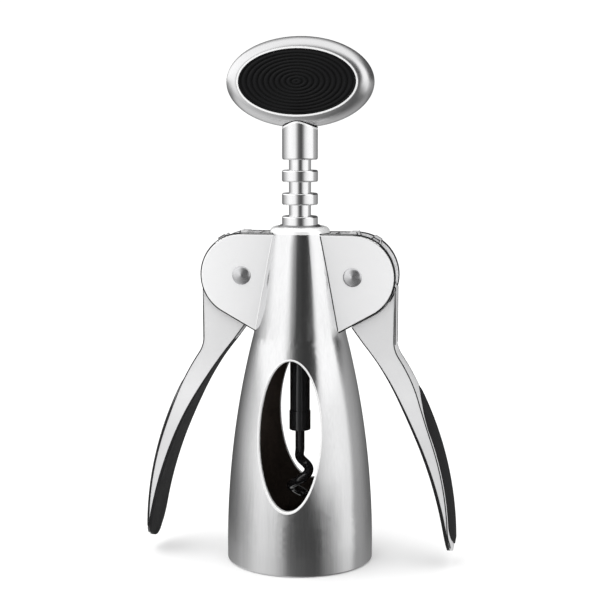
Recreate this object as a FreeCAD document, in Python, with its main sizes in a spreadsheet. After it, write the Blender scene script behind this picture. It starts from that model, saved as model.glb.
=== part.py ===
import FreeCAD, Part
import math
import os

import Sketcher

# Wing corkscrew with two geared levers, an oval knob and a round rack that turns and slides.
# Millimetres, +Z up, origin at the centre of the bell's rim. The levers lie in the XZ plane
# and the window in the bell faces -Y. Rest pose: levers down, worm drawn up into the bell.

Vector = FreeCAD.Vector

doc = FreeCAD.newDocument("WingCorkscrew")

# Driving sizes, kept in the sheet under these names.
SIZES = {
    # bell: outer radii and heights from the rim up to the neck
    "bell_radius": 25.0,
    "bell_belly_radius": 22.6,
    "bell_belly_height": 42.4,
    "bell_waist_radius": 15.8,
    "bell_waist_height": 78.0,
    "neck_radius": 10.2,
    "neck_height": 112.4,
    "neck_face_radius": 7.9,
    "neck_lip": 2.2,
    "bell_wall": 2.0,
    "rim_round": 0.5,
    # hollow under the neck, and the bores above it
    "hollow_top": 84.0,
    "hollow_shoulder": 2.5,
    "bore_clearance": 0.35,
    "running_fit": 0.05,
    # windows in the front and the back of the bell
    "window_half_width": 10.3,
    "window_half_height": 24.6,
    "window_centre": 46.5,
    "window_chamfer": 0.5,
    # cheeks that carry the levers
    "pivot_spread": 18.9,
    "pivot_drop": 14.2,
    "cheek_radius": 14.2,
    "cheek_width": 13.0,
    "cheek_slope": 29.0,
    "cheek_edge_round": 0.6,
    "cheek_root": 5.0,
    "slot_width": 7.0,
    "slot_clearance": 0.5,
    "slot_stop": 2.2,
    "slot_drop": 20.0,
    # rivets
    "pin_radius": 2.0,
    "pin_head_radius": 3.2,
    "pin_head_height": 1.3,
    "pin_head_tip": 0.7,
    # neck bush that turns with the spindle
    "bush_wall": 1.3,
    "bush_depth": 5.0,
    "bush_flange": 0.5,
    "bush_flange_step": 0.9,
    "face_gap": 0.1,
    # bottle guide inside the rim
    "guide_bore": 15.3,
    "guide_base": 1.0,
    "guide_height": 8.0,
    "guide_play": 0.02,
    "guide_taper": 0.15,
    # round rack on the spindle
    "ring_radius": 6.05,
    "ring_height": 3.9,
    "ring_pitch": 7.71,
    "ring_rise": 19.15,
    "ring_count": 6,
    "ring_edge_round": 0.5,
    "core_radius": 3.7,
    "tail_radius": 3.4,
    "tail_end": 51.4,
    "spigot_radius": 2.4,
    "spigot_length": 3.0,
    "stub_radius": 3.0,
    "stub_length": 23.0,
    # collar under the knob
    "collar_radius": 6.0,
    "collar_rise": 5.45,
    "collar_edge_round": 0.6,
    # knob, an oval disc with a domed edge
    "knob_half_width": 25.0,
    "knob_half_height": 15.1,
    "knob_half_depth": 6.5,
    "knob_rise": 25.75,
    "knob_rim_side": 5.1,
    "knob_rim_top": 4.2,
    "knob_rim_turn": 81.0,
    "insert_half_width": 19.8,
    "insert_half_height": 10.85,
    "insert_thickness": 1.5,
    "insert_below_rim": 0.1,
    "knob_pin_radius": 1.5,
    "knob_pin_rise": 19.0,
    # worm and the ferrule that holds it
    "ferrule_radius": 3.65,
    "ferrule_base": 44.6,
    "ferrule_edge_round": 0.4,
    "worm_wire_radius": 1.6,
    "worm_path_radius": 3.1,
    "worm_pitch": 11.5,
    "worm_straight_end": 38.0,
    "worm_spread_turns": 0.65,
    "worm_start_angle": 127.0,
    "worm_turns": 2.875,
    "worm_point_length": 4.5,
    "worm_point_radius": 0.25,
    "worm_shank_depth": 3.6,
    # gear on each lever
    "gear_root_radius": 12.5,
    "gear_tip_radius": 14.9,
    "gear_pitch_radius": 14.0,
    "tooth_root_half": 2.3,
    "tooth_tip_half": 1.15,
    "tooth_sink": 1.5,
    "tooth_count": 6,
    "engaged_slot": 5,
    "gear_thickness": 6.4,
    # lever arm: places from its pivot, outwards and down
    "neck_reach": 14.3,
    "neck_drop": 24.5,
    "elbow_round": 10.0,
    "back_reach": 28.5,
    "back_drop": 52.5,
    "tip_reach": 35.0,
    "tip_back_drop": 89.0,
    "tip_drop": 93.4,
    "tip_draw": 0.7,
    "tongue_inset": 0.15,
    "inner_top_reach": -0.5,
    "inner_top_drop": 17.0,
    "grip_top_reach": 3.6,
    "grip_top_drop": 22.6,
    "inner_mid_reach": 20.0,
    "inner_mid_drop": 49.5,
    "inner_tip_reach": 32.4,
    "inner_tip_drop": 91.5,
    "crown_axis_reach": 8.0,
    "crown_axis_drop": 65.8,
    "crown_axis_lean": 14.0,
    "crown_sweep": 160.0,
    "neck_half_width": 4.25,
    "paddle_half_width": 9.3,
    "flare_start": 26.0,
    "flare_end": 54.0,
    "head_clearance": 0.5,
    # rubber on the levers
    "inner_grip_thickness": 1.0,
    "outer_grip_depth": 0.7,
    "outer_grip_proud": 0.25,
    "outer_grip_rim": 1.0,
    "outer_grip_top": 37.0,
    "outer_grip_end": 90.8,
    "outer_grip_widest": 54.0,
    "leaf_fullness": 0.86,
}

# Heights that follow from the neck's, so that a taller neck lifts what stands on it
DERIVED = {
    "bell_height": "neck_height + neck_lip",
    "pivot_height": "neck_height - pivot_drop",
    "ring_top": "neck_height + ring_rise",
    "collar_base": "ring_top + collar_rise",
    "stub_top": "collar_base + stub_length",
    "knob_pin_height": "collar_base + knob_pin_rise",
    "knob_centre": "collar_base + knob_rise",
}

sheet = doc.addObject("Spreadsheet::Sheet", "Sizes")
for row, (alias, size) in enumerate(SIZES.items(), start=1):
    sheet.set("A%d" % row, alias)
    sheet.set("B%d" % row, str(size))
    sheet.setAlias("B%d" % row, alias)
doc.recompute()


def bound(text):
    """Put the sheet's name before each alias in a formula, and work out derived heights."""
    words = []
    word = ""
    for letter in text + " ":
        if letter.isalnum() or letter == "_":
            word += letter
            continue
        if word in DERIVED:
            word = "(%s)" % bound(DERIVED[word])
        words.append("Sizes." + word if word in SIZES else word)
        words.append(letter)
        word = ""
    return "".join(words).strip()


def number(text):
    """The value of a formula of sheet names."""
    result = sheet.evalExpression(bound(str(text)))
    return float(getattr(result, "Value", result))


def bind(thing, prop, text):
    """Tie a property to a formula of sheet names."""
    thing.setExpression(prop, bound(str(text)))


def place(thing, x="0", y="0", z="0"):
    """Tie the place of a piece to the sheet."""
    for axis, text in zip("xyz", (x, y, z)):
        bind(thing, "Placement.Base." + axis, text)


def new_body(label):
    body = doc.addObject("PartDesign::Body", label)
    body.Label = label
    return body


def new_sketch(body, plane, name):
    """A sketch on one of the body's own origin planes."""
    sketch = body.newObject("Sketcher::SketchObject", name)
    support = [item for item in body.Origin.OriginFeatures if item.Role == plane]
    sketch.AttachmentSupport = [(support[0], "")]
    sketch.MapMode = "FlatFace"
    return sketch


def pin_point(sketch, element, end, point):
    """Hold one point of a sketch at two formulas."""
    for kind, text in zip(("DistanceX", "DistanceY"), point):
        sketch.addConstraint(Sketcher.Constraint(kind, -1, 1, element, end, number(text)))
        bind(sketch, "Constraints[%d]" % (len(sketch.Constraints) - 1), text)


def flat(point):
    return Vector(number(point[0]), number(point[1]), 0)


def outline(sketch, steps):
    """A closed outline. Each step is a corner (x, y), or an arc (x, y, through x, through y)
    that runs on to the corner from the one before it."""
    corners = [step[:2] for step in steps]
    for index, step in enumerate(steps):
        start = corners[index - 1]
        end = step[:2]
        if len(step) == 2:
            edge = Part.LineSegment(flat(start), flat(end))
            element = sketch.addGeometry(edge, False)
            tail, head = 1, 2
        else:
            through = step[2:]
            edge = Part.Arc(flat(start), flat(through), flat(end))
            turn = (flat(through) - flat(start)).cross(flat(end) - flat(through)).z
            element = sketch.addGeometry(edge, False)
            tail, head = (1, 2) if turn > 0 else (2, 1)
            mark = sketch.addGeometry(Part.Point(flat(through)), True)
            sketch.addConstraint(Sketcher.Constraint("PointOnObject", mark, 1, element))
            pin_point(sketch, mark, 1, through)
        pin_point(sketch, element, tail, start)
        pin_point(sketch, element, head, end)


def circle(sketch, x, y, radius):
    element = sketch.addGeometry(Part.Circle(flat((x, y)), Vector(0, 0, 1), number(radius)), False)
    pin_point(sketch, element, 3, (x, y))
    sketch.addConstraint(Sketcher.Constraint("Radius", element, number(radius)))
    bind(sketch, "Constraints[%d]" % (len(sketch.Constraints) - 1), radius)


def revolve(body, sketch, name, kind="Revolution", axis="V_Axis", angle="360"):
    feature = body.newObject("PartDesign::" + kind, name)
    feature.Profile = sketch
    feature.ReferenceAxis = (sketch, [axis])
    feature.Midplane = True
    bind(feature, "Angle", angle)
    sketch.Visibility = False
    doc.recompute()
    return feature


def pad(body, sketch, name, width, kind="Pad"):
    """Pad or pocket both ways from the sketch's plane."""
    before = body.Shape.Volume if not body.Shape.isNull() else 0
    feature = body.newObject("PartDesign::" + kind, name)
    feature.Profile = sketch
    feature.Midplane = True
    bind(feature, "Length", width)
    sketch.Visibility = False
    doc.recompute()
    change = body.Shape.Volume - before
    if (change >= 0) if kind == "Pocket" else (change <= 0):
        raise RuntimeError("%s changed nothing" % name)
    return feature


def round_edges(body, name, radius, chosen, kind="Fillet"):
    """Fillet or chamfer the edges that a test picks."""
    base = body.Tip
    picked = ["Edge%d" % (i + 1) for i, edge in enumerate(base.Shape.Edges) if chosen(edge)]
    if not picked:
        raise RuntimeError("%s found no edge" % name)
    feature = body.newObject("PartDesign::" + kind, name)
    feature.Base = (base, picked)
    bind(feature, "Radius" if kind == "Fillet" else "Size", radius)
    doc.recompute()
    return feature


def middle(edge):
    return edge.valueAt((edge.FirstParameter + edge.LastParameter) / 2)


def is_circle(edge, radius):
    return isinstance(edge.Curve, Part.Circle) and abs(edge.Curve.Radius - number(radius)) < 1e-4


def oval(name, half_width, half_height, y, z):
    """An ellipse that faces along Y, wider across than up, or the other way round."""
    ellipse = doc.addObject("Part::Ellipse", name)
    wide = number(half_width) >= number(half_height)
    bind(ellipse, "MajorRadius", half_width if wide else half_height)
    bind(ellipse, "MinorRadius", half_height if wide else half_width)
    facing = FreeCAD.Rotation(Vector(1, 0, 0), 90)
    upright = FreeCAD.Rotation(Vector(1, 1, 1), -120)
    ellipse.Placement = FreeCAD.Placement(Vector(), facing if wide else upright)
    place(ellipse, "0", y, z)
    return ellipse


def extrude(source, name, length, direction=0):
    """A prism along Y: one way, or both ways where the direction is 0."""
    prism = doc.addObject("Part::Extrusion", name)
    prism.Base = source
    prism.DirMode = "Custom"
    prism.Dir = Vector(0, direction or 1, 0)
    prism.Solid = True
    prism.Symmetric = direction == 0
    bind(prism, "LengthFwd", length)
    doc.recompute()
    return prism


def cut(name, base, tool):
    feature = doc.addObject("Part::Cut", name)
    feature.Base = base
    feature.Tool = tool
    doc.recompute()
    return feature


def body_pattern(body, kind, name, source):
    pattern = body.newObject(kind, name)
    pattern.Originals = [source]
    body.Tip = pattern
    return pattern


# Bell frame: bell, neck and cheeks, one casting
bell = new_body("BellCasting")

shape = new_sketch(bell, "XZ_Plane", "BellOutline")
outline(shape, [
    ("0", "0"),
    ("bell_radius", "0"),
    ("bell_waist_radius", "bell_waist_height", "bell_belly_radius", "bell_belly_height"),
    ("neck_radius", "neck_height"),
    ("neck_face_radius", "bell_height",
     "neck_radius - (neck_radius - neck_face_radius) * 0.25",
     "neck_height + (bell_height - neck_height) * 0.72"),
    ("0", "bell_height"),
])
revolve(bell, shape, "BellSolid")

CHEEK_FOOT_X = "(pivot_spread + cheek_radius * sin(cheek_slope))"
CHEEK_FOOT_Z = "(pivot_height - cheek_radius * cos(cheek_slope))"
cheek = new_sketch(bell, "XZ_Plane", "CheekOutline")
for side in ("1", "-1"):
    outline(cheek, [
        ("%s * cheek_root" % side, "pivot_height + cheek_radius"),
        ("%s * pivot_spread" % side, "pivot_height + cheek_radius"),
        ("%s * %s" % (side, CHEEK_FOOT_X), CHEEK_FOOT_Z,
         "%s * (pivot_spread + cheek_radius * cos(cheek_slope))" % side,
         "pivot_height + cheek_radius * sin(cheek_slope)"),
        ("%s * cheek_root" % side,
         "%s - (%s - cheek_root) * tan(cheek_slope)" % (CHEEK_FOOT_Z, CHEEK_FOOT_X)),
    ])
pad(bell, cheek, "Cheeks", "cheek_width")


def cheek_rim(edge):
    """The outer edges of the cheeks, without their line on the bell."""
    point = middle(edge)
    if abs(abs(point.y) - number("cheek_width / 2")) > 1e-4:
        return False
    return is_circle(edge, "cheek_radius") or isinstance(edge.Curve, Part.Line)


round_edges(bell, "CheekRims", "cheek_edge_round", cheek_rim)
round_edges(bell, "RimRound", "rim_round", lambda edge: is_circle(edge, "bell_radius"))

hollow = new_sketch(bell, "XZ_Plane", "Hollow")
outline(hollow, [
    ("0", "-1"),
    ("bell_radius - bell_wall", "-1"),
    ("bell_radius - bell_wall", "0"),
    ("bell_waist_radius - bell_wall", "bell_waist_height",
     "bell_belly_radius - bell_wall", "bell_belly_height"),
    ("bell_waist_radius - bell_wall - 1", "hollow_top"),
    ("ring_radius + bore_clearance", "hollow_top + hollow_shoulder"),
    ("ring_radius + bore_clearance", "bell_height - bush_depth"),
    ("ring_radius + bush_wall + 2 * running_fit", "bell_height - bush_depth"),
    ("ring_radius + bush_wall + 2 * running_fit", "bell_height + 1"),
    ("0", "bell_height + 1"),
])
revolve(bell, hollow, "HollowCut", "Groove")

slot = new_sketch(bell, "XZ_Plane", "GearSpace")
for side in ("1", "-1"):
    circle(slot, "%s * pivot_spread" % side, "pivot_height", "gear_tip_radius + slot_clearance")
pad(bell, slot, "GearSpaceCut", "slot_width", "Pocket")

way = new_sketch(bell, "XZ_Plane", "LeverWay")
for side in ("1", "-1"):
    outline(way, [
        ("%s * (pivot_spread - slot_stop)" % side, "pivot_height"),
        ("%s * (pivot_spread - slot_stop)" % side, "pivot_height - slot_drop"),
        ("%s * (pivot_spread + gear_tip_radius + 1)" % side, "pivot_height - slot_drop"),
        ("%s * (pivot_spread + gear_tip_radius + 1)" % side, "pivot_height"),
    ])
pad(bell, way, "LeverWayCut", "slot_width", "Pocket")

holes = new_sketch(bell, "XZ_Plane", "PinHoles")
for side in ("1", "-1"):
    circle(holes, "%s * pivot_spread" % side, "pivot_height", "pin_radius")
pad(bell, holes, "PinHolesCut", "cheek_width * 2", "Pocket")

window = oval("WindowOval", "window_half_width", "window_half_height", "0", "window_centre")
window_prism = extrude(window, "WindowPrism", "bell_radius * 3")
windowed = cut("WindowedBell", bell, window_prism)


def in_window(edge):
    """Tell the edges of the two windows, on either skin of the bell."""
    box = edge.BoundBox
    inside = box.ZMin > number("window_centre - window_half_height") - 0.1 and \
        box.ZMax < number("window_centre + window_half_height") + 0.1
    narrow = max(abs(box.XMin), abs(box.XMax)) < number("window_half_width") + 0.1
    return inside and narrow and box.ZLength > 1


def reach(edge):
    return max(abs(edge.BoundBox.YMin), abs(edge.BoundBox.YMax))


rims = {i + 1: reach(edge) for i, edge in enumerate(windowed.Shape.Edges) if in_window(edge)}
outer_skin = max(rims.values()) - number("bell_wall / 2")
bell_frame = doc.addObject("Part::Chamfer", "bell_frame")
bell_frame.Base = windowed
chamfer_size = number("window_chamfer")
bell_frame.Edges = [(i, chamfer_size, chamfer_size) for i in rims if rims[i] > outer_skin]
doc.recompute()

# Rivets through the cheeks, one per lever, with a shallow cone at each end
for side_name, side in (("right", "1"), ("left", "-1")):
    shank = doc.addObject("Part::Cylinder", "pin_shank_" + side_name)
    bind(shank, "Radius", "pin_radius")
    bind(shank, "Height", "cheek_width")
    shank.Placement = FreeCAD.Placement(Vector(), FreeCAD.Rotation(Vector(1, 0, 0), 90))
    place(shank, "%s * pivot_spread" % side, "cheek_width / 2", "pivot_height")
    pieces = [shank]
    for face_name, turn, y in (("front", 90, "-cheek_width / 2"), ("back", -90, "cheek_width / 2")):
        head = doc.addObject("Part::Cone", "pin_head_%s_%s" % (face_name, side_name))
        bind(head, "Radius1", "pin_head_radius")
        bind(head, "Radius2", "pin_head_tip")
        bind(head, "Height", "pin_head_height")
        head.Placement = FreeCAD.Placement(Vector(), FreeCAD.Rotation(Vector(1, 0, 0), turn))
        place(head, "%s * pivot_spread" % side, y, "pivot_height")
        pieces.append(head)
    pin = doc.addObject("Part::MultiFuse", "pivot_pin_" + side_name)
    pin.Shapes = pieces
    pin.Refine = True

# Neck bush, a flanged ring that turns with the spindle in the top of the neck
bush = new_body("neck_bush")
section = new_sketch(bush, "XZ_Plane", "BushSection")
outline(section, [
    ("ring_radius + running_fit", "bell_height - bush_depth + face_gap"),
    ("ring_radius + running_fit + bush_wall", "bell_height - bush_depth + face_gap"),
    ("ring_radius + running_fit + bush_wall", "bell_height + face_gap"),
    ("ring_radius + running_fit + bush_flange_step", "bell_height + face_gap + bush_flange"),
    ("ring_radius + running_fit", "bell_height + face_gap + bush_flange"),
])
revolve(bush, section, "BushRing")

# Bottle guide, a ring in the bell's mouth that centres the bottle
guide = new_body("bottle_guide")
section = new_sketch(guide, "XZ_Plane", "GuideSection")
outline(section, [
    ("guide_bore + 1", "guide_base"),
    ("bell_radius - bell_wall - guide_play", "guide_base"),
    ("bell_radius - bell_wall - guide_play - guide_taper", "guide_base + guide_height"),
    ("guide_bore + 2.5", "guide_base + guide_height"),
    ("guide_bore", "guide_base + guide_height - 2.5"),
    ("guide_bore", "guide_base + 1"),
])
revolve(guide, section, "GuideRing")

# Spindle rack: core, rings and the stub for the knob, turned from one bar
RACK_FOOT = "(ring_top - ring_pitch * ring_count)"
spindle = new_body("spindle_rack")
section = new_sketch(spindle, "XZ_Plane", "SpindleSection")
outline(section, [
    ("0", RACK_FOOT + " + spigot_length"),
    ("spigot_radius", RACK_FOOT + " + spigot_length"),
    ("spigot_radius", RACK_FOOT),
    ("tail_radius", RACK_FOOT),
    ("core_radius", RACK_FOOT + " + core_radius - tail_radius"),
    ("core_radius", "collar_base"),
    ("stub_radius", "collar_base"),
    ("stub_radius", "stub_top"),
    ("0", "stub_top"),
])
revolve(spindle, section, "SpindleCore")
section = new_sketch(spindle, "XZ_Plane", "RingSection")
outline(section, [
    ("core_radius - 0.5", "ring_top - ring_height / 2"),
    ("ring_radius", "ring_top - ring_height / 2"),
    ("ring_radius", "ring_top + ring_height / 2"),
    ("core_radius - 0.5", "ring_top + ring_height / 2"),
])
ring = revolve(spindle, section, "TopRing")
rings = body_pattern(spindle, "PartDesign::LinearPattern", "Rings", ring)
rings.Direction = (section, ["V_Axis"])
rings.Reversed = True
bind(rings, "Length", "ring_pitch * (ring_count - 1)")
bind(rings, "Occurrences", "ring_count")
spindle.Tip = rings
doc.recompute()
round_edges(spindle, "RingEdges", "ring_edge_round", lambda edge: is_circle(edge, "ring_radius"))
cross = new_sketch(spindle, "XZ_Plane", "CrossHole")
circle(cross, "0", "knob_pin_height", "knob_pin_radius")
pad(spindle, cross, "CrossHoleCut", "stub_radius * 4", "Pocket")

# Spindle tail: the dark rod between the rack and the worm, with a spigot at each end
tail_rod = new_body("spindle_tail")
section = new_sketch(tail_rod, "XZ_Plane", "TailSection")
outline(section, [
    ("0", "tail_end - spigot_length"),
    ("spigot_radius", "tail_end - spigot_length"),
    ("spigot_radius", "tail_end"),
    ("tail_radius", "tail_end"),
    ("tail_radius", RACK_FOOT),
    ("spigot_radius", RACK_FOOT),
    ("spigot_radius", RACK_FOOT + " + spigot_length"),
    ("0", RACK_FOOT + " + spigot_length"),
])
revolve(tail_rod, section, "TailRod")

# Knob: an oval disc whose domed edge is a loft through ovals
levels = []
KNOB_STEPS = 4
for step in range(-KNOB_STEPS, KNOB_STEPS + 1):
    turn = "(knob_rim_turn * %d / %d)" % (step, KNOB_STEPS)
    level = oval("KnobOval%d" % (step + KNOB_STEPS),
                 "knob_half_width - knob_rim_side * (1 - cos(%s))" % turn,
                 "knob_half_height - knob_rim_top * (1 - cos(%s))" % turn,
                 "knob_half_depth * sin(%s)" % turn, "knob_centre")
    levels.append(level)
knob_solid = doc.addObject("Part::Loft", "KnobSolid")
knob_solid.Sections = levels
knob_solid.Solid = True
knob_solid.Ruled = False
KNOB_FACE = "(knob_half_depth * sin(knob_rim_turn))"
KNOB_FLOOR = "(%s - insert_thickness - insert_below_rim)" % KNOB_FACE
inserts = []
recesses = []
for name, sign in (("front", "-1"), ("rear", "1")):
    floor = oval("InsertOval_" + name, "insert_half_width", "insert_half_height",
                 "%s * %s" % (sign, KNOB_FLOOR), "knob_centre")
    recess = extrude(floor, "Recess_" + name, "knob_half_depth", int(sign))
    insert = extrude(floor, "knob_insert_" + name, "insert_thickness", int(sign))
    recesses.append(recess)
    inserts.append(insert)
stub_hole = doc.addObject("Part::Cylinder", "StubHole")
bind(stub_hole, "Radius", "stub_radius")
bind(stub_hole, "Height", "stub_top - collar_base")
place(stub_hole, z="collar_base")
knob_pin = doc.addObject("Part::Cylinder", "knob_pin")
bind(knob_pin, "Radius", "knob_pin_radius")
bind(knob_pin, "Height", "2 * %s" % KNOB_FLOOR)
knob_pin.Placement = FreeCAD.Placement(Vector(), FreeCAD.Rotation(Vector(1, 0, 0), 90))
place(knob_pin, y=KNOB_FLOOR, z="knob_pin_height")
knob_tools = doc.addObject("Part::MultiFuse", "KnobTools")
knob_tools.Shapes = recesses + [stub_hole, knob_pin]
knob = cut("knob", knob_solid, knob_tools)

# Collar: a sleeve whose top is cut to sit round the knob's edge
sleeve = new_body("CollarSleeve")
section = new_sketch(sleeve, "XZ_Plane", "CollarSection")
outline(section, [
    ("stub_radius", "collar_base"),
    ("collar_radius", "collar_base"),
    ("collar_radius", "knob_centre - knob_half_height + knob_rim_top"),
    ("stub_radius", "knob_centre - knob_half_height + knob_rim_top"),
])
revolve(sleeve, section, "CollarTube")
round_edges(sleeve, "CollarFoot", "collar_edge_round",
            lambda edge: is_circle(edge, "collar_radius") and
            abs(middle(edge).z - number("collar_base")) < 1e-4)
collar = cut("knob_collar", sleeve, knob_solid)

# Ferrule on the spindle's tail
ferrule = new_body("worm_ferrule")
section = new_sketch(ferrule, "XZ_Plane", "FerruleSection")
outline(section, [
    ("worm_wire_radius", "ferrule_base"),
    ("ferrule_radius - ferrule_edge_round", "ferrule_base"),
    ("ferrule_radius", "ferrule_base + ferrule_edge_round"),
    ("ferrule_radius", "tail_end"),
    ("spigot_radius", "tail_end"),
    ("spigot_radius", "tail_end - spigot_length"),
    ("worm_wire_radius", "tail_end - spigot_length"),
])
revolve(ferrule, section, "FerruleRing")


# Worm: a straight shank that spreads into an open helix and ends in a point
def worm_place(turn):
    """Centre of the wire, which leans out of the shank and then takes up its full winding."""
    spread = min(turn / number("worm_spread_turns"), 1.0)
    radius = number("worm_path_radius") * spread * spread * (3 - 2 * spread)
    wound = turn - spread * (1 - spread / 2) * number("worm_spread_turns")
    angle = math.radians(number("worm_start_angle")) - 2 * math.pi * wound
    height = number("worm_straight_end") - number("worm_pitch") * turn
    return Vector(radius * math.cos(angle), radius * math.sin(angle), height)


def worm_heading(turn):
    step = 1e-4
    ahead = worm_place(turn + step) - worm_place(max(turn - step, 0.0))
    return ahead.normalize()


def tangent_arc(start, heading, end):
    """The arc that leaves start along heading and reaches end."""
    chord = end - start
    cosine = chord.dot(heading) / chord.Length
    if cosine > 1 - 1e-9:
        return Part.LineSegment(start, end)
    corner = start + heading * (chord.Length / (2 * cosine))
    through = (start + corner * (2 * cosine) + end) * (1 / (2 + 2 * cosine))
    return Part.Arc(start, through, end)


def biarc(start, start_heading, end, end_heading):
    """Two tangent arcs between two places with given headings."""
    chord = end - start
    both = start_heading + end_heading
    a = both.Length ** 2 - 4
    b = -2 * chord.dot(both)
    c = chord.Length ** 2
    reach = (-b - math.sqrt(b * b - 4 * a * c)) / (2 * a) if abs(a) > 1e-9 else -c / b
    reach = abs(reach)
    joint = (start + start_heading * reach + end - end_heading * reach) * 0.5
    first = tangent_arc(start, start_heading, joint)
    second = tangent_arc(end, end_heading * -1, joint)
    return [first.toShape(), second.toShape()]


WORM_STEPS_PER_TURN = 8
shank_top = Vector(0, 0, number("ferrule_base + worm_shank_depth"))
edges = [Part.LineSegment(shank_top, worm_place(0.0)).toShape()]
steps = int(round(number("worm_turns") * WORM_STEPS_PER_TURN))
headings = [Vector(0, 0, -1)] + [worm_heading(i / WORM_STEPS_PER_TURN) for i in range(1, steps + 1)]
for i in range(steps):
    edges += biarc(worm_place(i / WORM_STEPS_PER_TURN), headings[i],
                   worm_place((i + 1) / WORM_STEPS_PER_TURN), headings[i + 1])
path = Part.Wire(Part.__sortEdges__(edges))
wire_radius = number("worm_wire_radius")
rim = Part.Wire([Part.makeCircle(wire_radius, shank_top, Vector(0, 0, -1))])
coil = path.makePipeShell([rim], True, False)
tip_start = worm_place(steps / WORM_STEPS_PER_TURN)
tip = Part.makeCone(wire_radius, number("worm_point_radius"), number("worm_point_length"),
                    tip_start, headings[-1])
worm = doc.addObject("Part::Feature", "worm")
worm.Shape = coil.fuse(tip)
print("worm: volume %.2f, section times length %.2f, least path radius %.2f, wire radius %.2f" % (
    coil.Volume, math.pi * wire_radius ** 2 * path.Length,
    min(edge.Curve.Radius for edge in path.Edges if isinstance(edge.Curve, Part.Circle)),
    wire_radius))

# Lever arm, drawn from its pivot, outwards along +X
arm = new_body("ArmCasting")
place(arm, "pivot_spread", "0", "pivot_height")
AXIS_TOP = ("crown_axis_reach - (crown_axis_drop + gear_tip_radius) * tan(crown_axis_lean)",
            "gear_tip_radius")
AXIS_END = ("crown_axis_reach + (tip_drop - crown_axis_drop) * tan(crown_axis_lean)", "-tip_drop")


def round_back(body, name, rise):
    """The round back of the arm, a barrel turned about a leaning axis, raised by some amount."""
    sketch = new_sketch(body, "XZ_Plane", name + "Section")
    line = sketch.addGeometry(Part.LineSegment(flat(AXIS_TOP), flat(AXIS_END)), True)
    pin_point(sketch, line, 1, AXIS_TOP)
    pin_point(sketch, line, 2, AXIS_END)
    outline(sketch, [
        AXIS_TOP,
        AXIS_END,
        ("tip_reach + (%s) - tip_draw" % rise, "-tip_drop"),
        ("tip_reach + (%s)" % rise, "-tip_back_drop"),
        ("neck_reach + (%s)" % rise, "-neck_drop", "back_reach + (%s)" % rise, "-back_drop"),
        ("neck_reach + (%s)" % rise, "gear_tip_radius"),
    ])
    return revolve(body, sketch, name, axis="Axis0", angle="crown_sweep")


round_back(arm, "ArmBack", "0")
ELBOW = Vector(number("neck_reach"), 0, -number("neck_drop"))
round_edges(arm, "Elbow", "elbow_round", lambda edge: middle(edge).distanceToPoint(ELBOW) < 0.01)

TOP_OUTSIDE = "gear_tip_radius * 3"
BOTTOM_OUTSIDE = "-(tip_drop + bell_radius)"
inner = new_sketch(arm, "XZ_Plane", "InnerSide")
FAR = "-(bell_radius * 2)"
outline(inner, [
    (FAR, TOP_OUTSIDE),
    (FAR, BOTTOM_OUTSIDE),
    ("inner_tip_reach + inner_grip_thickness", BOTTOM_OUTSIDE),
    ("inner_tip_reach + inner_grip_thickness", "-inner_tip_drop"),
    ("grip_top_reach", "-grip_top_drop",
     "inner_mid_reach + inner_grip_thickness * 0.7", "-inner_mid_drop"),
    ("inner_top_reach", "-inner_top_drop"),
    ("inner_top_reach", TOP_OUTSIDE),
])
pad(arm, inner, "InnerSideCut", "bell_radius * 3", "Pocket")


FLARE_MIDDLE = "(flare_start + flare_end) / 2"
FLARE_HALF = "(neck_half_width + paddle_half_width) / 2"
FLARE_BOW = "(paddle_half_width - neck_half_width) / 8"
FLARE_STEP = "(flare_end - flare_start) / 4"
TIP_SHOULDER = "(tip_drop - paddle_half_width)"


def trim_width(body, name):
    """Cut away all that lies outside the arm's outline as seen along X."""
    sketch = new_sketch(body, "YZ_Plane", name + "Outline")
    outline(sketch, [
        ("-bell_radius * 2", TOP_OUTSIDE),
        ("-bell_radius * 2", BOTTOM_OUTSIDE),
        ("bell_radius * 2", BOTTOM_OUTSIDE),
        ("bell_radius * 2", TOP_OUTSIDE),
        ("neck_half_width", TOP_OUTSIDE),
        ("neck_half_width", "-flare_start"),
        (FLARE_HALF, "-" + FLARE_MIDDLE,
         "neck_half_width + " + FLARE_BOW, "-flare_start - " + FLARE_STEP),
        ("paddle_half_width", "-flare_end",
         "paddle_half_width - " + FLARE_BOW, "-flare_end + " + FLARE_STEP),
        ("paddle_half_width", "-" + TIP_SHOULDER),
        ("-paddle_half_width", "-" + TIP_SHOULDER, "0", "-tip_drop"),
        ("-paddle_half_width", "-flare_end"),
        ("-(%s)" % FLARE_HALF, "-" + FLARE_MIDDLE,
         "-paddle_half_width + " + FLARE_BOW, "-flare_end + " + FLARE_STEP),
        ("-neck_half_width", "-flare_start",
         "-neck_half_width - " + FLARE_BOW, "-flare_start - " + FLARE_STEP),
        ("-neck_half_width", TOP_OUTSIDE),
    ])
    pad(body, sketch, name, "bell_radius * 6", "Pocket")


trim_width(arm, "ArmWidth")

# The wide part of the arm starts clear of the cheeks
CLEAR = "(cheek_radius + head_clearance)"
clear = new_sketch(arm, "XZ_Plane", "CheekClearance")
outline(clear, [
    (CLEAR, "0"),
    ("%s * sin(cheek_slope)" % CLEAR, "-%s * cos(cheek_slope)" % CLEAR,
     "%s * cos(45 - cheek_slope / 2)" % CLEAR, "-%s * sin(45 - cheek_slope / 2)" % CLEAR),
    ("%s * sin(cheek_slope) - 2 * %s * cos(cheek_slope)" % (CLEAR, CLEAR),
     "-%s * cos(cheek_slope) - 2 * %s * sin(cheek_slope)" % (CLEAR, CLEAR)),
    ("-2 * %s" % CLEAR, "3 * %s" % CLEAR),
    ("3 * %s" % CLEAR, "3 * %s" % CLEAR),
    ("3 * %s" % CLEAR, "0"),
])
pad(arm, clear, "CheekClearanceCut", "bell_radius * 2", "Pocket")

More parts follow.
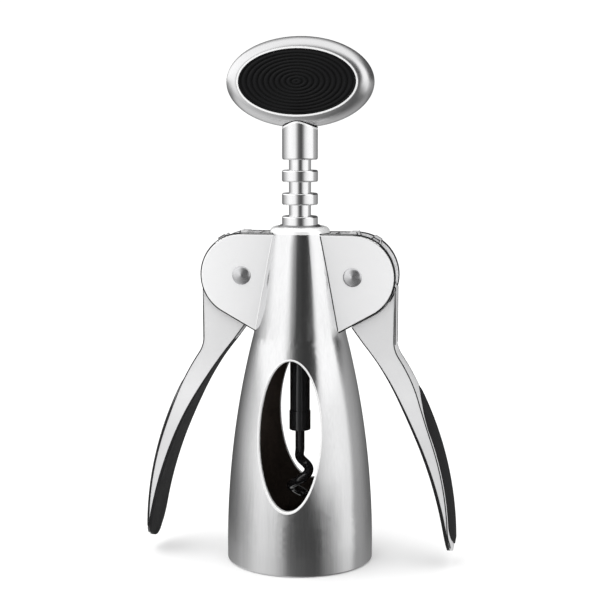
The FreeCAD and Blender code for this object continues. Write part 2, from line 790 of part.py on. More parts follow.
tongue = new_sketch(arm, "XZ_Plane", "Tongue")
outline(tongue, [
    ("-gear_root_radius * 0.3", "-gear_root_radius * 0.8"),
    ("inner_top_reach + tongue_inset", "-inner_top_drop"),
    ("grip_top_reach + tongue_inset", "-grip_top_drop"),
    ("neck_reach - tongue_inset", "-grip_top_drop"),
    ("neck_reach - tongue_inset", "-gear_root_radius * 0.3"),
    ("gear_root_radius * 0.9", "0"),
])
pad(arm, tongue, "TongueWeb", "gear_thickness")
disc = new_sketch(arm, "XZ_Plane", "GearDisc")
circle(disc, "0", "0", "gear_root_radius")
pad(arm, disc, "GearDiscWeb", "gear_thickness")

# Gear teeth, from one below the rack round to the outside of the head
GEAR_STEP = "(ring_pitch / gear_pitch_radius * 180 / pi)"
SLOT_DROP = "(pivot_height - (ring_top - ring_pitch * (engaged_slot - 0.5)))"
FIRST_TOOTH = "(180 + %s / gear_pitch_radius * 180 / pi + %s)" % (SLOT_DROP, GEAR_STEP)
tooth = new_sketch(arm, "XZ_Plane", "Tooth")
bind(tooth, "AttachmentOffset.Rotation.Angle", FIRST_TOOTH)
outline(tooth, [
    ("gear_root_radius - tooth_sink", "-tooth_root_half"),
    ("gear_tip_radius", "-tooth_tip_half"),
    ("gear_tip_radius", "tooth_tip_half"),
    ("gear_root_radius - tooth_sink", "tooth_root_half"),
])
first_tooth = pad(arm, tooth, "FirstTooth", "gear_thickness")
teeth = body_pattern(arm, "PartDesign::PolarPattern", "Teeth", first_tooth)
teeth.Axis = (tooth, ["N_Axis"])
teeth.Reversed = True
bind(teeth, "Angle", "%s * (tooth_count - 1)" % GEAR_STEP)
bind(teeth, "Occurrences", "tooth_count")
doc.recompute()
bore = new_sketch(arm, "XZ_Plane", "PivotBore")
circle(bore, "0", "0", "pin_radius + running_fit")
pad(arm, bore, "PivotBoreCut", "bell_radius", "Pocket")

# Outer grip: a leaf of rubber let into the arm's back
outer = new_body("outer_grip_right")
place(outer, "pivot_spread", "0", "pivot_height")
round_back(outer, "GripSkin", "outer_grip_proud")
under = new_sketch(outer, "XZ_Plane", "GripUnderside")
line = under.addGeometry(Part.LineSegment(flat(AXIS_TOP), flat(AXIS_END)), True)
pin_point(under, line, 1, AXIS_TOP)
pin_point(under, line, 2, AXIS_END)
outline(under, [
    AXIS_TOP,
    AXIS_END,
    ("tip_reach - tip_draw - outer_grip_depth", "-tip_drop"),
    ("tip_reach - outer_grip_depth", "-tip_back_drop"),
    ("neck_reach - outer_grip_depth", "-neck_drop", "back_reach - outer_grip_depth", "-back_drop"),
    ("neck_reach - outer_grip_depth", "gear_tip_radius"),
])
revolve(outer, under, "GripUndersideCut", "Groove", axis="Axis0", angle="crown_sweep + 20")
LEAF = "(paddle_half_width - outer_grip_rim)"
LEAF_SHOULDER = "(outer_grip_end - %s)" % LEAF
LEAF_BOW = ("%s * leaf_fullness" % LEAF,
            "-(outer_grip_top + outer_grip_widest) / 2")
leaf = new_sketch(outer, "YZ_Plane", "LeafOutside")
outline(leaf, [
    ("-bell_radius * 2", TOP_OUTSIDE),
    ("-bell_radius * 2", BOTTOM_OUTSIDE),
    ("bell_radius * 2", BOTTOM_OUTSIDE),
    ("bell_radius * 2", TOP_OUTSIDE),
])
outline(leaf, [
    ("0", "-outer_grip_top", "-" + LEAF_BOW[0], LEAF_BOW[1]),
    (LEAF, "-outer_grip_widest") + LEAF_BOW,
    (LEAF, "-" + LEAF_SHOULDER),
    ("-" + LEAF, "-" + LEAF_SHOULDER, "0", "-outer_grip_end"),
    ("-" + LEAF, "-outer_grip_widest"),
])
pad(outer, leaf, "LeafCut", "bell_radius * 6", "Pocket")

# Inner grip: a skin of rubber over the whole inner side of the arm
skin = new_body("inner_grip_right")
place(skin, "pivot_spread", "0", "pivot_height")
section = new_sketch(skin, "XZ_Plane", "SkinSection")
outline(section, [
    ("grip_top_reach", "-grip_top_drop",
     "inner_mid_reach + inner_grip_thickness * 0.7", "-inner_mid_drop"),
    ("inner_tip_reach", "-inner_tip_drop", "inner_mid_reach", "-inner_mid_drop"),
    ("inner_tip_reach", BOTTOM_OUTSIDE),
    ("inner_tip_reach + inner_grip_thickness", BOTTOM_OUTSIDE),
    ("inner_tip_reach + inner_grip_thickness", "-inner_tip_drop"),
])
pad(skin, section, "SkinSolid", "bell_radius * 2")
trim_width(skin, "SkinWidth")

lever_right = cut("lever_right", arm, outer)
for source, label in ((lever_right, "lever_left"), (outer, "outer_grip_left"),
                      (skin, "inner_grip_left")):
    twin = doc.addObject("Part::Mirroring", label)
    twin.Source = source
    twin.Normal = Vector(1, 0, 0)
doc.recompute()

# Every finished piece, checked and then written
NODES = [
    "bell_frame", "bottle_guide", "pivot_pin_right", "pivot_pin_left", "neck_bush",
    "spindle_rack", "spindle_tail", "worm_ferrule", "worm", "knob_collar", "knob", "knob_pin",
    "knob_insert_front", "knob_insert_rear",
    "lever_right", "outer_grip_right", "inner_grip_right",
    "lever_left", "outer_grip_left", "inner_grip_left",
]
failed = [thing.Name for thing in doc.Objects
          if "Invalid" in thing.State or "Error" in thing.State]
if failed:
    raise RuntimeError("failed objects: %s" % ", ".join(failed))
os.makedirs("parts", exist_ok=True)
for label in NODES:
    shape = doc.getObjectsByLabel(label)[0].Shape
    if shape.isNull() or not shape.isValid() or len(shape.Solids) != 1:
        raise RuntimeError("%s is not one sound solid" % label)
    box = shape.BoundBox
    print("%-18s %9.1f mm3  x %.1f %.1f  y %.1f %.1f  z %.1f %.1f" % (
        label, shape.Volume, box.XMin, box.XMax, box.YMin, box.YMax, box.ZMin, box.ZMax))
for label in NODES:
    doc.getObjectsByLabel(label)[0].Shape.exportStep("parts/%s.step" % label)
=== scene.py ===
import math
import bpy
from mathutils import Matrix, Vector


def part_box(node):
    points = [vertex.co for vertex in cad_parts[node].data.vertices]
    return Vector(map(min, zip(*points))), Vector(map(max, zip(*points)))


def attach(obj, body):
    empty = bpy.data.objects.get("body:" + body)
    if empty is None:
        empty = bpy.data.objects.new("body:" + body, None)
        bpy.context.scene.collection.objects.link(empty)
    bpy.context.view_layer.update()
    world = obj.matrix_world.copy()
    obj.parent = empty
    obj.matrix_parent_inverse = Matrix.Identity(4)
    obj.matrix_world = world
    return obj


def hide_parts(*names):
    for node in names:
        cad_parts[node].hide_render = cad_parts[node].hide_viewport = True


bl_info = {
    "name": "Wing Corkscrew",
    "version": (1, 0, 0),
    "blender": (4, 5, 0),
    "location": "View3D > Sidebar > Corkscrew",
    "description": "Dresses a wing corkscrew with its finishes, ribs, rings, rivets and worm",
    "category": "Object",
}

import bmesh
import bpy
from mathutils import Vector

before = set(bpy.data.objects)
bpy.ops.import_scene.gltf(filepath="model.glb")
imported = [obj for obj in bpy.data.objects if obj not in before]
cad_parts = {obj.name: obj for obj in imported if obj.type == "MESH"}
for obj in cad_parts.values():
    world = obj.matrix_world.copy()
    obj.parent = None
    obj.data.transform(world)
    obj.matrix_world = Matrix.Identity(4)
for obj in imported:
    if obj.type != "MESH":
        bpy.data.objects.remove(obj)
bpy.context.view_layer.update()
MM = 0.001

# The bell's outline as (radius, height), in millimetres
RIM, BELLY, WAIST, NECK = map(Vector, ((25.0, 0.0), (22.6, 42.4), (15.8, 78.0), (10.2, 112.4)))
# Depth under the outline from which a face belongs to the bell's inside
INNER_SKIN = 1.7
# Distances from the middle plane: the cheeks' faces, the foot of their rounded rims, the slot
CHEEK_FACE, ROUND_FOOT, SLOT_WALL = 6.5, 5.9, 3.5
# Distances from the spindle: where the line on the neck's lip starts and ends, the windows' sides
LIP_START, LIP_END, WINDOW_SIDE = 7.6, 15.5, 11.5
# A lever's pivot as (distance from the spindle, height)
PIVOT = Vector((18.9, 98.2))

# The bell's materials by number: brushed metal, cheek metal, painted shade inside, painted
# highlight, painted shade line
BRUSHED, CHEEK, PAINTED_SHADE_INSIDE, PAINTED_HIGHLIGHT, PAINTED_SHADE_LINE = range(5)


# Node trees

class Flow:
    """A socket of a node tree that can be used in sums."""

    def __init__(self, tree, socket):
        self.tree = tree
        self.socket = socket

    def math(self, kind, *others):
        node = self.tree.nodes.new("ShaderNodeMath")
        node.operation = kind
        for slot, value in zip(node.inputs, (self,) + others):
            feed(self.tree, value, slot)
        return Flow(self.tree, node.outputs[0])

    def __add__(self, other):
        return self.math("ADD", other)

    def __sub__(self, other):
        return self.math("SUBTRACT", other)

    def __mul__(self, other):
        return self.math("MULTIPLY", other)

    def __truediv__(self, other):
        return self.math("DIVIDE", other)

    def __rsub__(self, other):
        return (self * -1.0) + other

    def least(self, other):
        return self.math("MINIMUM", other)

    def most(self, other):
        return self.math("MAXIMUM", other)

    def spread(self, low, high, to_low=0.0, to_high=1.0):
        """Stretch a range of this value over another, and stop at its ends."""
        return flow_of(self.tree, "ShaderNodeMapRange", {
            "Value": self, "From Min": low, "From Max": high,
            "To Min": to_low, "To Max": to_high}, clamp=True)


def feed(tree, value, slot):
    """Give a socket a link or a plain value."""
    if isinstance(value, Flow):
        tree.links.new(value.socket, slot)
    else:
        slot.default_value = value


def add_node(tree, kind, inputs=(), **settings):
    """A node with its settings, its inputs given by name or number."""
    node = tree.nodes.new(kind)
    for key, value in settings.items():
        setattr(node, key, value)
    for key, value in dict(inputs).items():
        feed(tree, value, node.inputs[key])
    return node


def flow_of(tree, kind, inputs=(), key=0, **settings):
    """One output of a new node."""
    return Flow(tree, add_node(tree, kind, inputs, **settings).outputs[key])


def axes_of(tree, place):
    """The three parts of a place."""
    split = add_node(tree, "ShaderNodeSeparateXYZ", {"Vector": place})
    return [Flow(tree, output) for output in split.outputs]


class Recipe:
    """A Geometry Nodes tree with named inputs that makes one piece."""

    def __init__(self, name, inputs, start=None):
        self.tree = bpy.data.node_groups.new(name, "GeometryNodeTree")
        self.start = start or bpy.data.meshes.new(name)
        interface = self.tree.interface
        for direction in ("OUTPUT", "INPUT"):
            interface.new_socket("Geometry", in_out=direction,
                                 socket_type="NodeSocketGeometry")
        self.values = {}
        for key, value in inputs.items():
            kind = "NodeSocketInt" if isinstance(value, int) else "NodeSocketFloat"
            socket = interface.new_socket(key, in_out="INPUT", socket_type=kind)
            self.values[socket.identifier] = value
        entry = self.tree.nodes.new("NodeGroupInput")
        self.given = {key: Flow(self.tree, entry.outputs[key]) for key in inputs}
        self.given["start"] = Flow(self.tree, entry.outputs["Geometry"])

    def make(self, kind, inputs=(), **settings):
        return flow_of(self.tree, "GeometryNode" + kind, inputs, **settings)

    def place(self, x, y, z):
        return flow_of(self.tree, "ShaderNodeCombineXYZ", {"X": x, "Y": y, "Z": z})

    def moved(self, shape, **change):
        return self.make("Transform", {"Geometry": shape, **change})

    def joined(self, *shapes):
        node = self.tree.nodes.new("GeometryNodeJoinGeometry")
        for shape in shapes:
            self.tree.links.new(shape.socket, node.inputs[0])
        return Flow(self.tree, node.outputs[0])

    def sheet(self):
        """A grid to wind round an axis, with each point's share of the way and its angle."""
        grid = self.make("MeshGrid", {
            "Vertices X": self.given["steps"], "Vertices Y": self.given["turns"]})
        along, across, _ = axes_of(self.tree, self.make("InputPosition"))
        return grid, along + 0.5, (across + 0.5) * (2 * math.pi)

    def bake(self, shape, name, material, sharp):
        """Run the tree on a new object and keep the result as a plain mesh."""
        real = self.make("RealizeInstances", {"Geometry": shape})
        last = add_node(self.tree, "GeometryNodeSetMaterial",
                        {"Geometry": real, "Material": material})
        exit_node = self.tree.nodes.new("NodeGroupOutput")
        self.tree.links.new(last.outputs[0], exit_node.inputs[0])
        piece = link_object(name, self.start)
        modifier = piece.modifiers.new("recipe", "NODES")
        modifier.node_group = self.tree
        for identifier, value in self.values.items():
            modifier[identifier] = value
        settle(piece)
        tidy_mesh(piece.data, sharp)
        firm_up(piece)
        return piece


def settle(piece):
    """Turn what the modifiers make into the piece's own mesh."""
    graph = bpy.context.evaluated_depsgraph_get()
    mesh = bpy.data.meshes.new_from_object(piece.evaluated_get(graph))
    piece.modifiers.clear()
    mesh.name = piece.name
    piece.data = mesh


def firm_up(piece):
    """Let large faces rule the shading of small ones next to them."""
    weighting = piece.modifiers.new("even shading", "WEIGHTED_NORMAL")
    weighting.keep_sharp = True
    settle(piece)


def tidy_mesh(mesh, sharp):
    """Merge doubles, turn the faces outwards and smooth all but the sharp edges."""
    shape = bmesh.new()
    shape.from_mesh(mesh)
    bmesh.ops.remove_doubles(shape, verts=shape.verts, dist=1e-6)
    bmesh.ops.recalc_face_normals(shape, faces=shape.faces)
    for face in shape.faces:
        face.smooth = True
    shape.to_mesh(mesh)
    shape.free()
    mesh.set_sharp_from_angle(angle=math.radians(sharp))


# Meshes

def new_piece(name, mesh):
    """A new object with a mesh, its shading evened."""
    piece = link_object(name, mesh)
    firm_up(piece)
    return piece


def skinned(name, rings, material, closed=False, sharp=35.0):
    """A skin over rings of points, its ends capped, or joined where it is closed."""
    count = len(rings[0])
    points = [point for ring in rings for point in ring]
    faces = []
    for i in range(len(rings) if closed else len(rings) - 1):
        here, there = i * count, ((i + 1) % len(rings)) * count
        for k in range(count):
            after = (k + 1) % count
            faces.append((here + k, here + after, there + after, there + k))
    if not closed:
        faces.append(tuple(range(count)))
        faces.append(tuple(range(len(points) - count, len(points))))
    mesh = bpy.data.meshes.new(name)
    mesh.from_pydata(points, [], faces)
    mesh.materials.append(material)
    tidy_mesh(mesh, sharp)
    return new_piece(name, mesh)


def circle(count):
    """Cosine and sine of even steps round a circle."""
    angles = [2 * math.pi * k / count for k in range(count)]
    return [(math.cos(angle), math.sin(angle)) for angle in angles]


# Turned pieces: corners of the section as (radius, height), and their rounding, in millimetres
SECTIONS = {
    "guide_ring": (((19.0, 1.0), (22.95, 1.0), (22.8, 9.0), (17.8, 9.0), (15.3, 6.5),
                    (15.3, 2.0), (16.3, 1.0), (19.0, 1.0)), 0.4),
    "bush_ring": (((6.7, 109.75), (7.35, 109.75), (7.35, 114.5), (6.6, 115.15), (6.12, 115.15),
                   (6.12, 109.75), (6.7, 109.75)), 0.15),
    "spindle_rod": (((0.0, 48.4), (2.4, 48.4), (2.4, 51.4), (3.4, 51.4), (3.4, 85.29),
                     (2.4, 85.29), (2.4, 88.3), (0.0, 88.3)), 0.2),
    "worm_socket": (((2.5, 44.6), (3.65, 44.6), (3.65, 51.4), (2.45, 51.4), (2.45, 48.5),
                     (1.62, 48.3), (1.62, 44.6), (2.5, 44.6)), 0.35),
}


def rounded(corners, radius):
    """A profile whose corners are rounded, without its ends."""
    steps = 3
    profile = []
    for before, corner, after in zip(corners, corners[1:], corners[2:]):
        point = Vector(corner)
        back = Vector(before) - point
        ahead = Vector(after) - point
        reach = min(radius, back.length / 2, ahead.length / 2)
        start = point + back.normalized() * reach
        end = point + ahead.normalized() * reach
        for step in range(steps + 1):
            share = step / steps
            place = (start.lerp(point, share)).lerp(point.lerp(end, share), share)
            profile.append((place.x, place.y))
    return profile


def turned(name, material):
    """A turned piece, hollow where its section ends at its first corner."""
    corners, rounding = SECTIONS[name]
    profile = rounded(corners, rounding)
    hollow = corners[0] == corners[-1]
    if hollow:
        profile.insert(0, corners[0])
    rings = [[(radius * MM * x, radius * MM * y, height * MM) for x, y in circle(96)]
             for radius, height in profile]
    return skinned(name, rings, material, hollow)


def polished(node, name, materials, split=None):
    """A copy of a CAD node, its doubles merged and the chosen edges split."""
    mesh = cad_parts[node].data.copy()
    mesh.name = name
    mesh.materials.clear()
    for material in materials:
        mesh.materials.append(material)
    if "custom_normal" in mesh.attributes:
        mesh.attributes.remove(mesh.attributes["custom_normal"])
    shape = bmesh.new()
    shape.from_mesh(mesh)
    bmesh.ops.remove_doubles(shape, verts=shape.verts, dist=2e-6)
    bmesh.ops.dissolve_limit(shape, angle_limit=math.radians(0.3), verts=shape.verts,
                             edges=shape.edges)
    for face in shape.faces:
        face.smooth = True
        face.material_index = 0
    if split:
        edges = [edge for edge in shape.edges if split(edge)]
        bmesh.ops.subdivide_edges(shape, edges=edges, cuts=3)
    shape.to_mesh(mesh)
    shape.free()
    mesh.set_sharp_from_angle(angle=math.radians(28.0))
    return new_piece(name, mesh)


def add_edge_lines(piece, chosen, radius, index):
    """Lay a thin line of one of the piece's materials along its chosen edges: the painted
    highlight and painted shade lines.
    """
    shape = bmesh.new()
    shape.from_mesh(piece.data)
    points = [vert.co.copy() for edge in shape.edges
              if len(edge.link_faces) == 2 and chosen(edge) for vert in edge.verts]
    shape.free()
    mesh = bpy.data.meshes.new(piece.name + "_edges")
    mesh.from_pydata(points, [(i, i + 1) for i in range(0, len(points), 2)], [])
    recipe = Recipe(piece.name + "_edge_lines", {"radius": radius * MM, "sides": 8}, start=mesh)
    merged = recipe.make("MergeByDistance", {
        "Geometry": recipe.given["start"], "Distance": 0.000001})
    section = recipe.make("CurvePrimitiveCircle", {
        "Resolution": recipe.given["sides"], "Radius": recipe.given["radius"]})
    tube = recipe.make("CurveToMesh", {
        "Curve": recipe.make("MeshToCurve", {"Mesh": merged}),
        "Profile Curve": section, "Fill Caps": True})
    lines = recipe.bake(tube, piece.name + "_lines", piece.data.materials[index], 60.0)
    for face in lines.data.polygons:
        face.material_index = index
    both = bmesh.new()
    both.from_mesh(piece.data)
    both.from_mesh(lines.data)
    both.to_mesh(piece.data)
    both.free()
    bpy.data.objects.remove(lines)


def link_object(name, data):
    """A new object in the scene."""
    thing = bpy.data.objects.new(name, data)
    bpy.context.scene.collection.objects.link(thing)
    return thing


def stands_for(piece, body, slot, *nodes):
    """Let a piece ride on a body in place of CAD nodes."""
    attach(piece, body)
    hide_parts(*nodes)


# Materials

class Finish:
    """A material whose patterns lie on the piece's own coordinates."""

    def __init__(self, name, **inputs):
        self.material = bpy.data.materials.new(name)
        self.material.use_nodes = True
        self.tree = self.material.node_tree
        self.shader = self.tree.nodes["Principled BSDF"]
        for key, value in inputs.items():
            self.shader.inputs[key.replace("_", " ")].default_value = value

    def place(self):
        return flow_of(self.tree, "ShaderNodeTexCoord", key="Object")

    def noise(self, *grain, detail=3.0, roughness=0.55):
        """Noise with its grain per millimetre, one for all axes or one for each."""
        scale = tuple(1000.0 * share for share in (grain * 3)[:3])
        placed = flow_of(self.tree, "ShaderNodeMapping", {
            "Vector": self.place(), "Scale": scale})
        return flow_of(self.tree, "ShaderNodeTexNoise", {
            "Vector": placed, "Scale": 1.0, "Detail": detail, "Roughness": roughness}, "Fac")

    def paint(self, pattern, colour, dark, pale, low=0.35, high=0.65):
        """Let the base colour follow a pattern from a darker to a paler tint."""
        node = add_node(self.tree, "ShaderNodeMix", data_type="RGBA")
        feed(self.tree, pattern.spread(low, high), node.inputs[0])
        node.inputs[6].default_value = tint(colour, dark) + (1.0,)
        node.inputs[7].default_value = tint(colour, pale) + (1.0,)
        self.tree.links.new(node.outputs[2], self.shader.inputs["Base Color"])

    def skin(self, pattern, roughness, less, more, height, depth):
        """The material with a roughness that follows a pattern, and a bump in metres."""
        rough = pattern.spread(0.3, 0.7, roughness * less, roughness * more)
        self.tree.links.new(rough.socket, self.shader.inputs["Roughness"])
        node = add_node(self.tree, "ShaderNodeBump", {"Height": height, "Distance": depth})
        self.tree.links.new(node.outputs[0], self.shader.inputs["Normal"])
        return self.material


def tint(colour, factor):
    return tuple(min(1.0, channel * factor) for channel in colour)


def brushed_metal(finishes):
    """Metal of the bell, brushed up and down."""
    metal = Finish("brushed bell metal", Metallic=1.0)
    brushing = metal.noise(2.6, 2.6, 0.02, detail=4.0, roughness=0.75)
    mixed = brushing * 0.65 + metal.noise(0.35, 0.35, 0.008) * 0.35
    metal.paint(mixed, finishes.satin_colour, 0.9, 1.0)
    return metal.skin(mixed, finishes.satin_roughness, 0.8, 1.25, brushing, 0.000006)


def painted_inside_shade(finishes):
    """Dark inside of the bell and its slot: painted shade."""
    metal = Finish("bell inside with painted shade", Metallic=0.5)
    cast = metal.noise(0.9, detail=4.0)
    mixed = metal.noise(0.1, 0.1, 0.03) * 0.6 + cast * 0.4
    metal.paint(mixed, finishes.painted_inside_shade_colour, 1.0, 2.2)
    return metal.skin(cast, 0.5, 0.8, 1.2, cast, 0.00008)


def satin_metal(finishes):
    """Fine satin metal of the knob's rim."""
    metal = Finish("satin knob metal", Metallic=1.0)
    grain = metal.noise(3.0, detail=4.0, roughness=0.7)
    mixed = grain * 0.6 + metal.noise(0.12) * 0.4
    metal.paint(mixed, finishes.satin_colour, 0.92, 1.0)
    return metal.skin(mixed, finishes.rim_roughness, 0.8, 1.25, grain, 0.000008)


def pearl_metal(finishes):
    """Pale blasted metal of the levers."""
    metal = Finish("pearl blasted metal", Metallic=1.0 - finishes.pearl_matt)
    grain = metal.noise(3.5)
    broad = metal.noise(0.06)
    metal.paint(grain * 0.5 + broad * 0.5, finishes.pearl_colour, 0.94, 1.0)
    return metal.skin(broad, finishes.pearl_roughness, 0.85, 1.15, grain, 0.000008)


def cheek_metal(finishes):
    """Blasted metal of the cheeks with a painted sheen that grows paler towards their rims."""
    metal = Finish("pearl cheek metal", Metallic=1.0 - finishes.pearl_matt)
    grain = metal.noise(3.5)
    # The paleness towards the rims is a painted sheen
    outward = axes_of(metal.tree, metal.place())[0].math("ABSOLUTE").spread(9.0 * MM, 33.0 * MM)
    metal.paint(outward * 0.9 + grain * 0.1, finishes.pearl_colour, 1.0, 1.16, 0.0, 1.0)
    return metal.skin(grain, finishes.pearl_roughness, 0.85, 1.15, grain, 0.000008)


def painted_highlight_finish(finishes):
    """Near white metal of rims, beads and window edges: a painted highlight."""
    metal = Finish("painted highlight edge", Metallic=0.35)
    grain = metal.noise(3.0, detail=4.0, roughness=0.7)
    metal.paint(grain, finishes.painted_highlight_colour, 0.94, 1.0, 0.0, 1.0)
    return metal.skin(grain, 0.2, 0.7, 1.2, grain, 0.000004)


def painted_shade_line_finish(finishes):
    """Painted shade: a near black line along edges, rims and seams."""
    metal = Finish("painted shade line", Metallic=0.8)
    grain = metal.noise(2.0, detail=4.0, roughness=0.7)
    metal.paint(grain, finishes.painted_shade_line_colour, 1.0, 2.0)
    return metal.skin(grain, 0.5, 0.5, 0.8, grain, 0.000006)


def turned_metal(name, colour, roughness, metallic=1.0):
    """Turned metal with faint tool marks round the upright axis."""
    metal = Finish(name, Metallic=metallic)
    marks = metal.noise(0.02, 0.02, 6.0, detail=4.0, roughness=0.7)
    broad = metal.noise(0.3)
    metal.paint(broad, colour, 0.95, 1.0)
    return metal.skin(marks * 0.6 + broad * 0.4, roughness, 0.75, 1.3, marks, 0.000003)


def black_coat(finishes):
    """Glossy black coating with a faint orange-peel skin."""
    coat = Finish("black worm coating", Coat_Weight=1.0, Coat_Roughness=0.03)
    peel = coat.noise(1.2)
    fine = coat.noise(6.0)
    coat.paint(fine, finishes.coating_colour, 1.0, 1.6, 0.3, 0.7)
    return coat.skin(peel, 0.1, 0.6, 1.4, peel + fine * 0.2, 0.00006)


def grip_rubber(finishes):
    """Matt black rubber with a fine speckle and paler dust in the grain."""
    black = Finish("grip rubber", Specular_IOR_Level=0.3)
    speckle = black.noise(4.5, roughness=0.7)
    patch = black.noise(0.15)
    black.paint(speckle * 0.7 + patch * 0.3, finishes.rubber_colour, 1.0, 2.8, 0.45, 0.68)
    return black.skin(patch, finishes.rubber_roughness, 0.88, 1.12, speckle, 0.00006)


def rib_wave(out, ribs):
    """Height of the ribs from 0 to 1, by the share of the way out from the middle."""
    return (out * (ribs + 0.5) * (2 * math.pi)).math("COSINE") * -0.5 + 0.5


def ribbed_rubber(finishes, sizes):
    """Black rubber of the knob's inserts with a speckle, paler on the crests and darker in the
    grooves of the ribs: painted light and shade.
    """
    black = Finish("insert rubber", Specular_IOR_Level=0.1)
    x, _, z = axes_of(black.tree, black.place())
    across = x / sizes.insert_half_width
    upward = (z - sizes.knob_centre) / sizes.insert_half_height
    crest = rib_wave((across * across + upward * upward).math("SQRT"), sizes.rib_count)
    speckle = black.noise(4.5, roughness=0.7)
    # Paler crests and darker grooves are painted light and shade; the speckle is the rubber's own
    black.paint(crest * 0.85 + speckle * 0.3, finishes.rubber_colour, 0.3, 1.25, 0.1, 1.05)
    return black.skin(speckle, 0.625, 0.88, 1.12, speckle, 0.00006)


def moulded_plastic(finishes):
    """Dark moulded plastic of the bottle guide."""
    plastic = Finish("dark moulded plastic")
    grain = plastic.noise(2.0, detail=4.0)
    plastic.paint(plastic.noise(0.06, 0.06, 0.4), finishes.plastic_colour, 1.0, 1.6, 0.3, 0.7)
    return plastic.skin(grain, 0.5, 0.8, 1.2, grain, 0.00003)


# Settings

def swatch(name, description, *colour):
    """A colour setting."""
    return bpy.props.FloatVectorProperty(name=name, description=description, subtype="COLOR",
                                         size=3, min=0.0, max=1.0, default=colour)


def portion(name, description, default):
    """A setting from 0 to 1."""
    return bpy.props.FloatProperty(name=name, description=description, subtype="FACTOR",
                                   min=0.0, max=1.0, default=default)


def length(name, description, millimetres):
    """A length setting given in millimetres and kept in metres."""
    return bpy.props.FloatProperty(name=name, description=description, unit="LENGTH",
                                   min=0.0, precision=5, default=millimetres * MM)


class CorkscrewFinishes(bpy.types.PropertyGroup):
    """Colours and roughness of the finishes."""

    satin_colour: swatch(
        "Satin metal", "Colour of the brushed bell and the knob's rim", 0.78, 0.78, 0.785)
    satin_roughness: portion("Brushed roughness", "Roughness of the brushed bell", 0.15)
    rim_roughness: portion("Rim roughness", "Roughness of the knob's rim", 0.3)
    pearl_colour: swatch("Pearl metal", "Colour of the cheeks and the levers", 0.74, 0.74, 0.745)
    pearl_roughness: portion("Pearl roughness", "Roughness of the cheeks and the levers", 0.36)
    pearl_matt: portion(
        "Pearl share", "How much of the blasted metal scatters light evenly", 0.75)
    # Colour of the painted highlights on beads, rims and window edges
    painted_highlight_colour: swatch(
        "Bright edges", "Colour of the beads, rims and window edges", 0.97, 0.97, 0.97)
    # Colour of the painted shade lines
    painted_shade_line_colour: swatch(
        "Edge lines", "Colour of the painted shade lines along the edges", 0.018, 0.018, 0.019)
    # Colour of the painted shade inside the bell and its slot
    painted_inside_shade_colour: swatch(
        "Inside", "Colour of the painted shade inside the bell", 0.042, 0.031, 0.025)
    chrome_colour: swatch("Polished metal", "Colour of the rack and the collar", 0.9, 0.9, 0.905)
    chrome_roughness: portion("Polish", "Roughness of the polished metal", 0.13)
    rivet_colour: swatch(
        "Rivets", "Colour of the rivets, the bush and the knob's pin", 0.6, 0.6, 0.61)
    coating_colour: swatch(
        "Worm coating", "Colour of the rod, the ferrule and the worm", 0.012, 0.012, 0.013)
    rubber_colour: swatch(
        "Rubber", "Colour of the grips and the knob's inserts", 0.0065, 0.0065, 0.007)
    rubber_roughness: portion("Rubber roughness", "Roughness of the grips", 0.62)
    plastic_colour: swatch("Guide", "Colour of the bottle guide", 0.02, 0.02, 0.02)


class CorkscrewSizes(bpy.types.PropertyGroup):
    """Sizes of the pieces that are made here."""

    ring_count: bpy.props.IntProperty(
        name="Rings", description="Number of rings on the rack", min=1, max=12, default=6)
    ring_pitch: length("Ring pitch", "Distance from ring to ring", 7.71)
    ring_height: length("Ring height", "Height of one ring", 3.9)
    ring_radius: length("Ring radius", "Radius of the rings", 6.05)
    ring_round: length("Ring edge", "Rounding of the rings' edges", 0.55)
    core_radius: length("Core radius", "Radius of the rack between its rings", 3.7)
    collar_radius: length("Collar radius", "Radius of the collar under the knob", 6.0)
    knob_half_width: length("Knob half width", "Half the knob's width", 25.0)
    knob_half_height: length("Knob half height", "Half the knob's height", 15.1)
    knob_half_depth: length("Knob half depth", "Half the knob's thickness", 6.5)
    knob_rim_side: length("Rim curve at the sides", "How far the rim curves in at the sides", 5.1)
    knob_rim_top: length("Rim curve at the top", "How far the rim curves in at the top", 4.2)
    knob_centre: length("Knob height", "Height of the knob's centre", 162.75)
    insert_half_width: length("Insert half width", "Half the insert's width", 19.8)
    insert_half_height: length("Insert half height", "Half the insert's height", 10.85)
    bead: length("Bead", "Radius of the bright bead round the insert", 0.3)
    rib_count: bpy.props.IntProperty(
        name="Ribs", description="Number of oval ribs on each insert", min=1, max=30, default=10)
    rib_depth: length("Rib depth", "Depth of the grooves between the ribs", 0.5)
    worm_pitch: length("Worm pitch", "Rise of the worm in one turn", 11.5)
    worm_radius: length("Worm radius", "Radius of the worm's line", 3.1)
    wire_radius: length("Wire radius", "Radius of the worm's wire", 1.6)
    worm_start: length("Straight end", "Height where the shank starts to wind", 38.0)
    worm_turns: bpy.props.FloatProperty(
        name="Turns", description="Turns of the worm down to its point", min=1.0, default=3.07)
    rivet_radius: length("Rivet radius", "Radius of a rivet's head", 3.2)
    rivet_height: length("Rivet height", "Height of a rivet's head", 1.3)


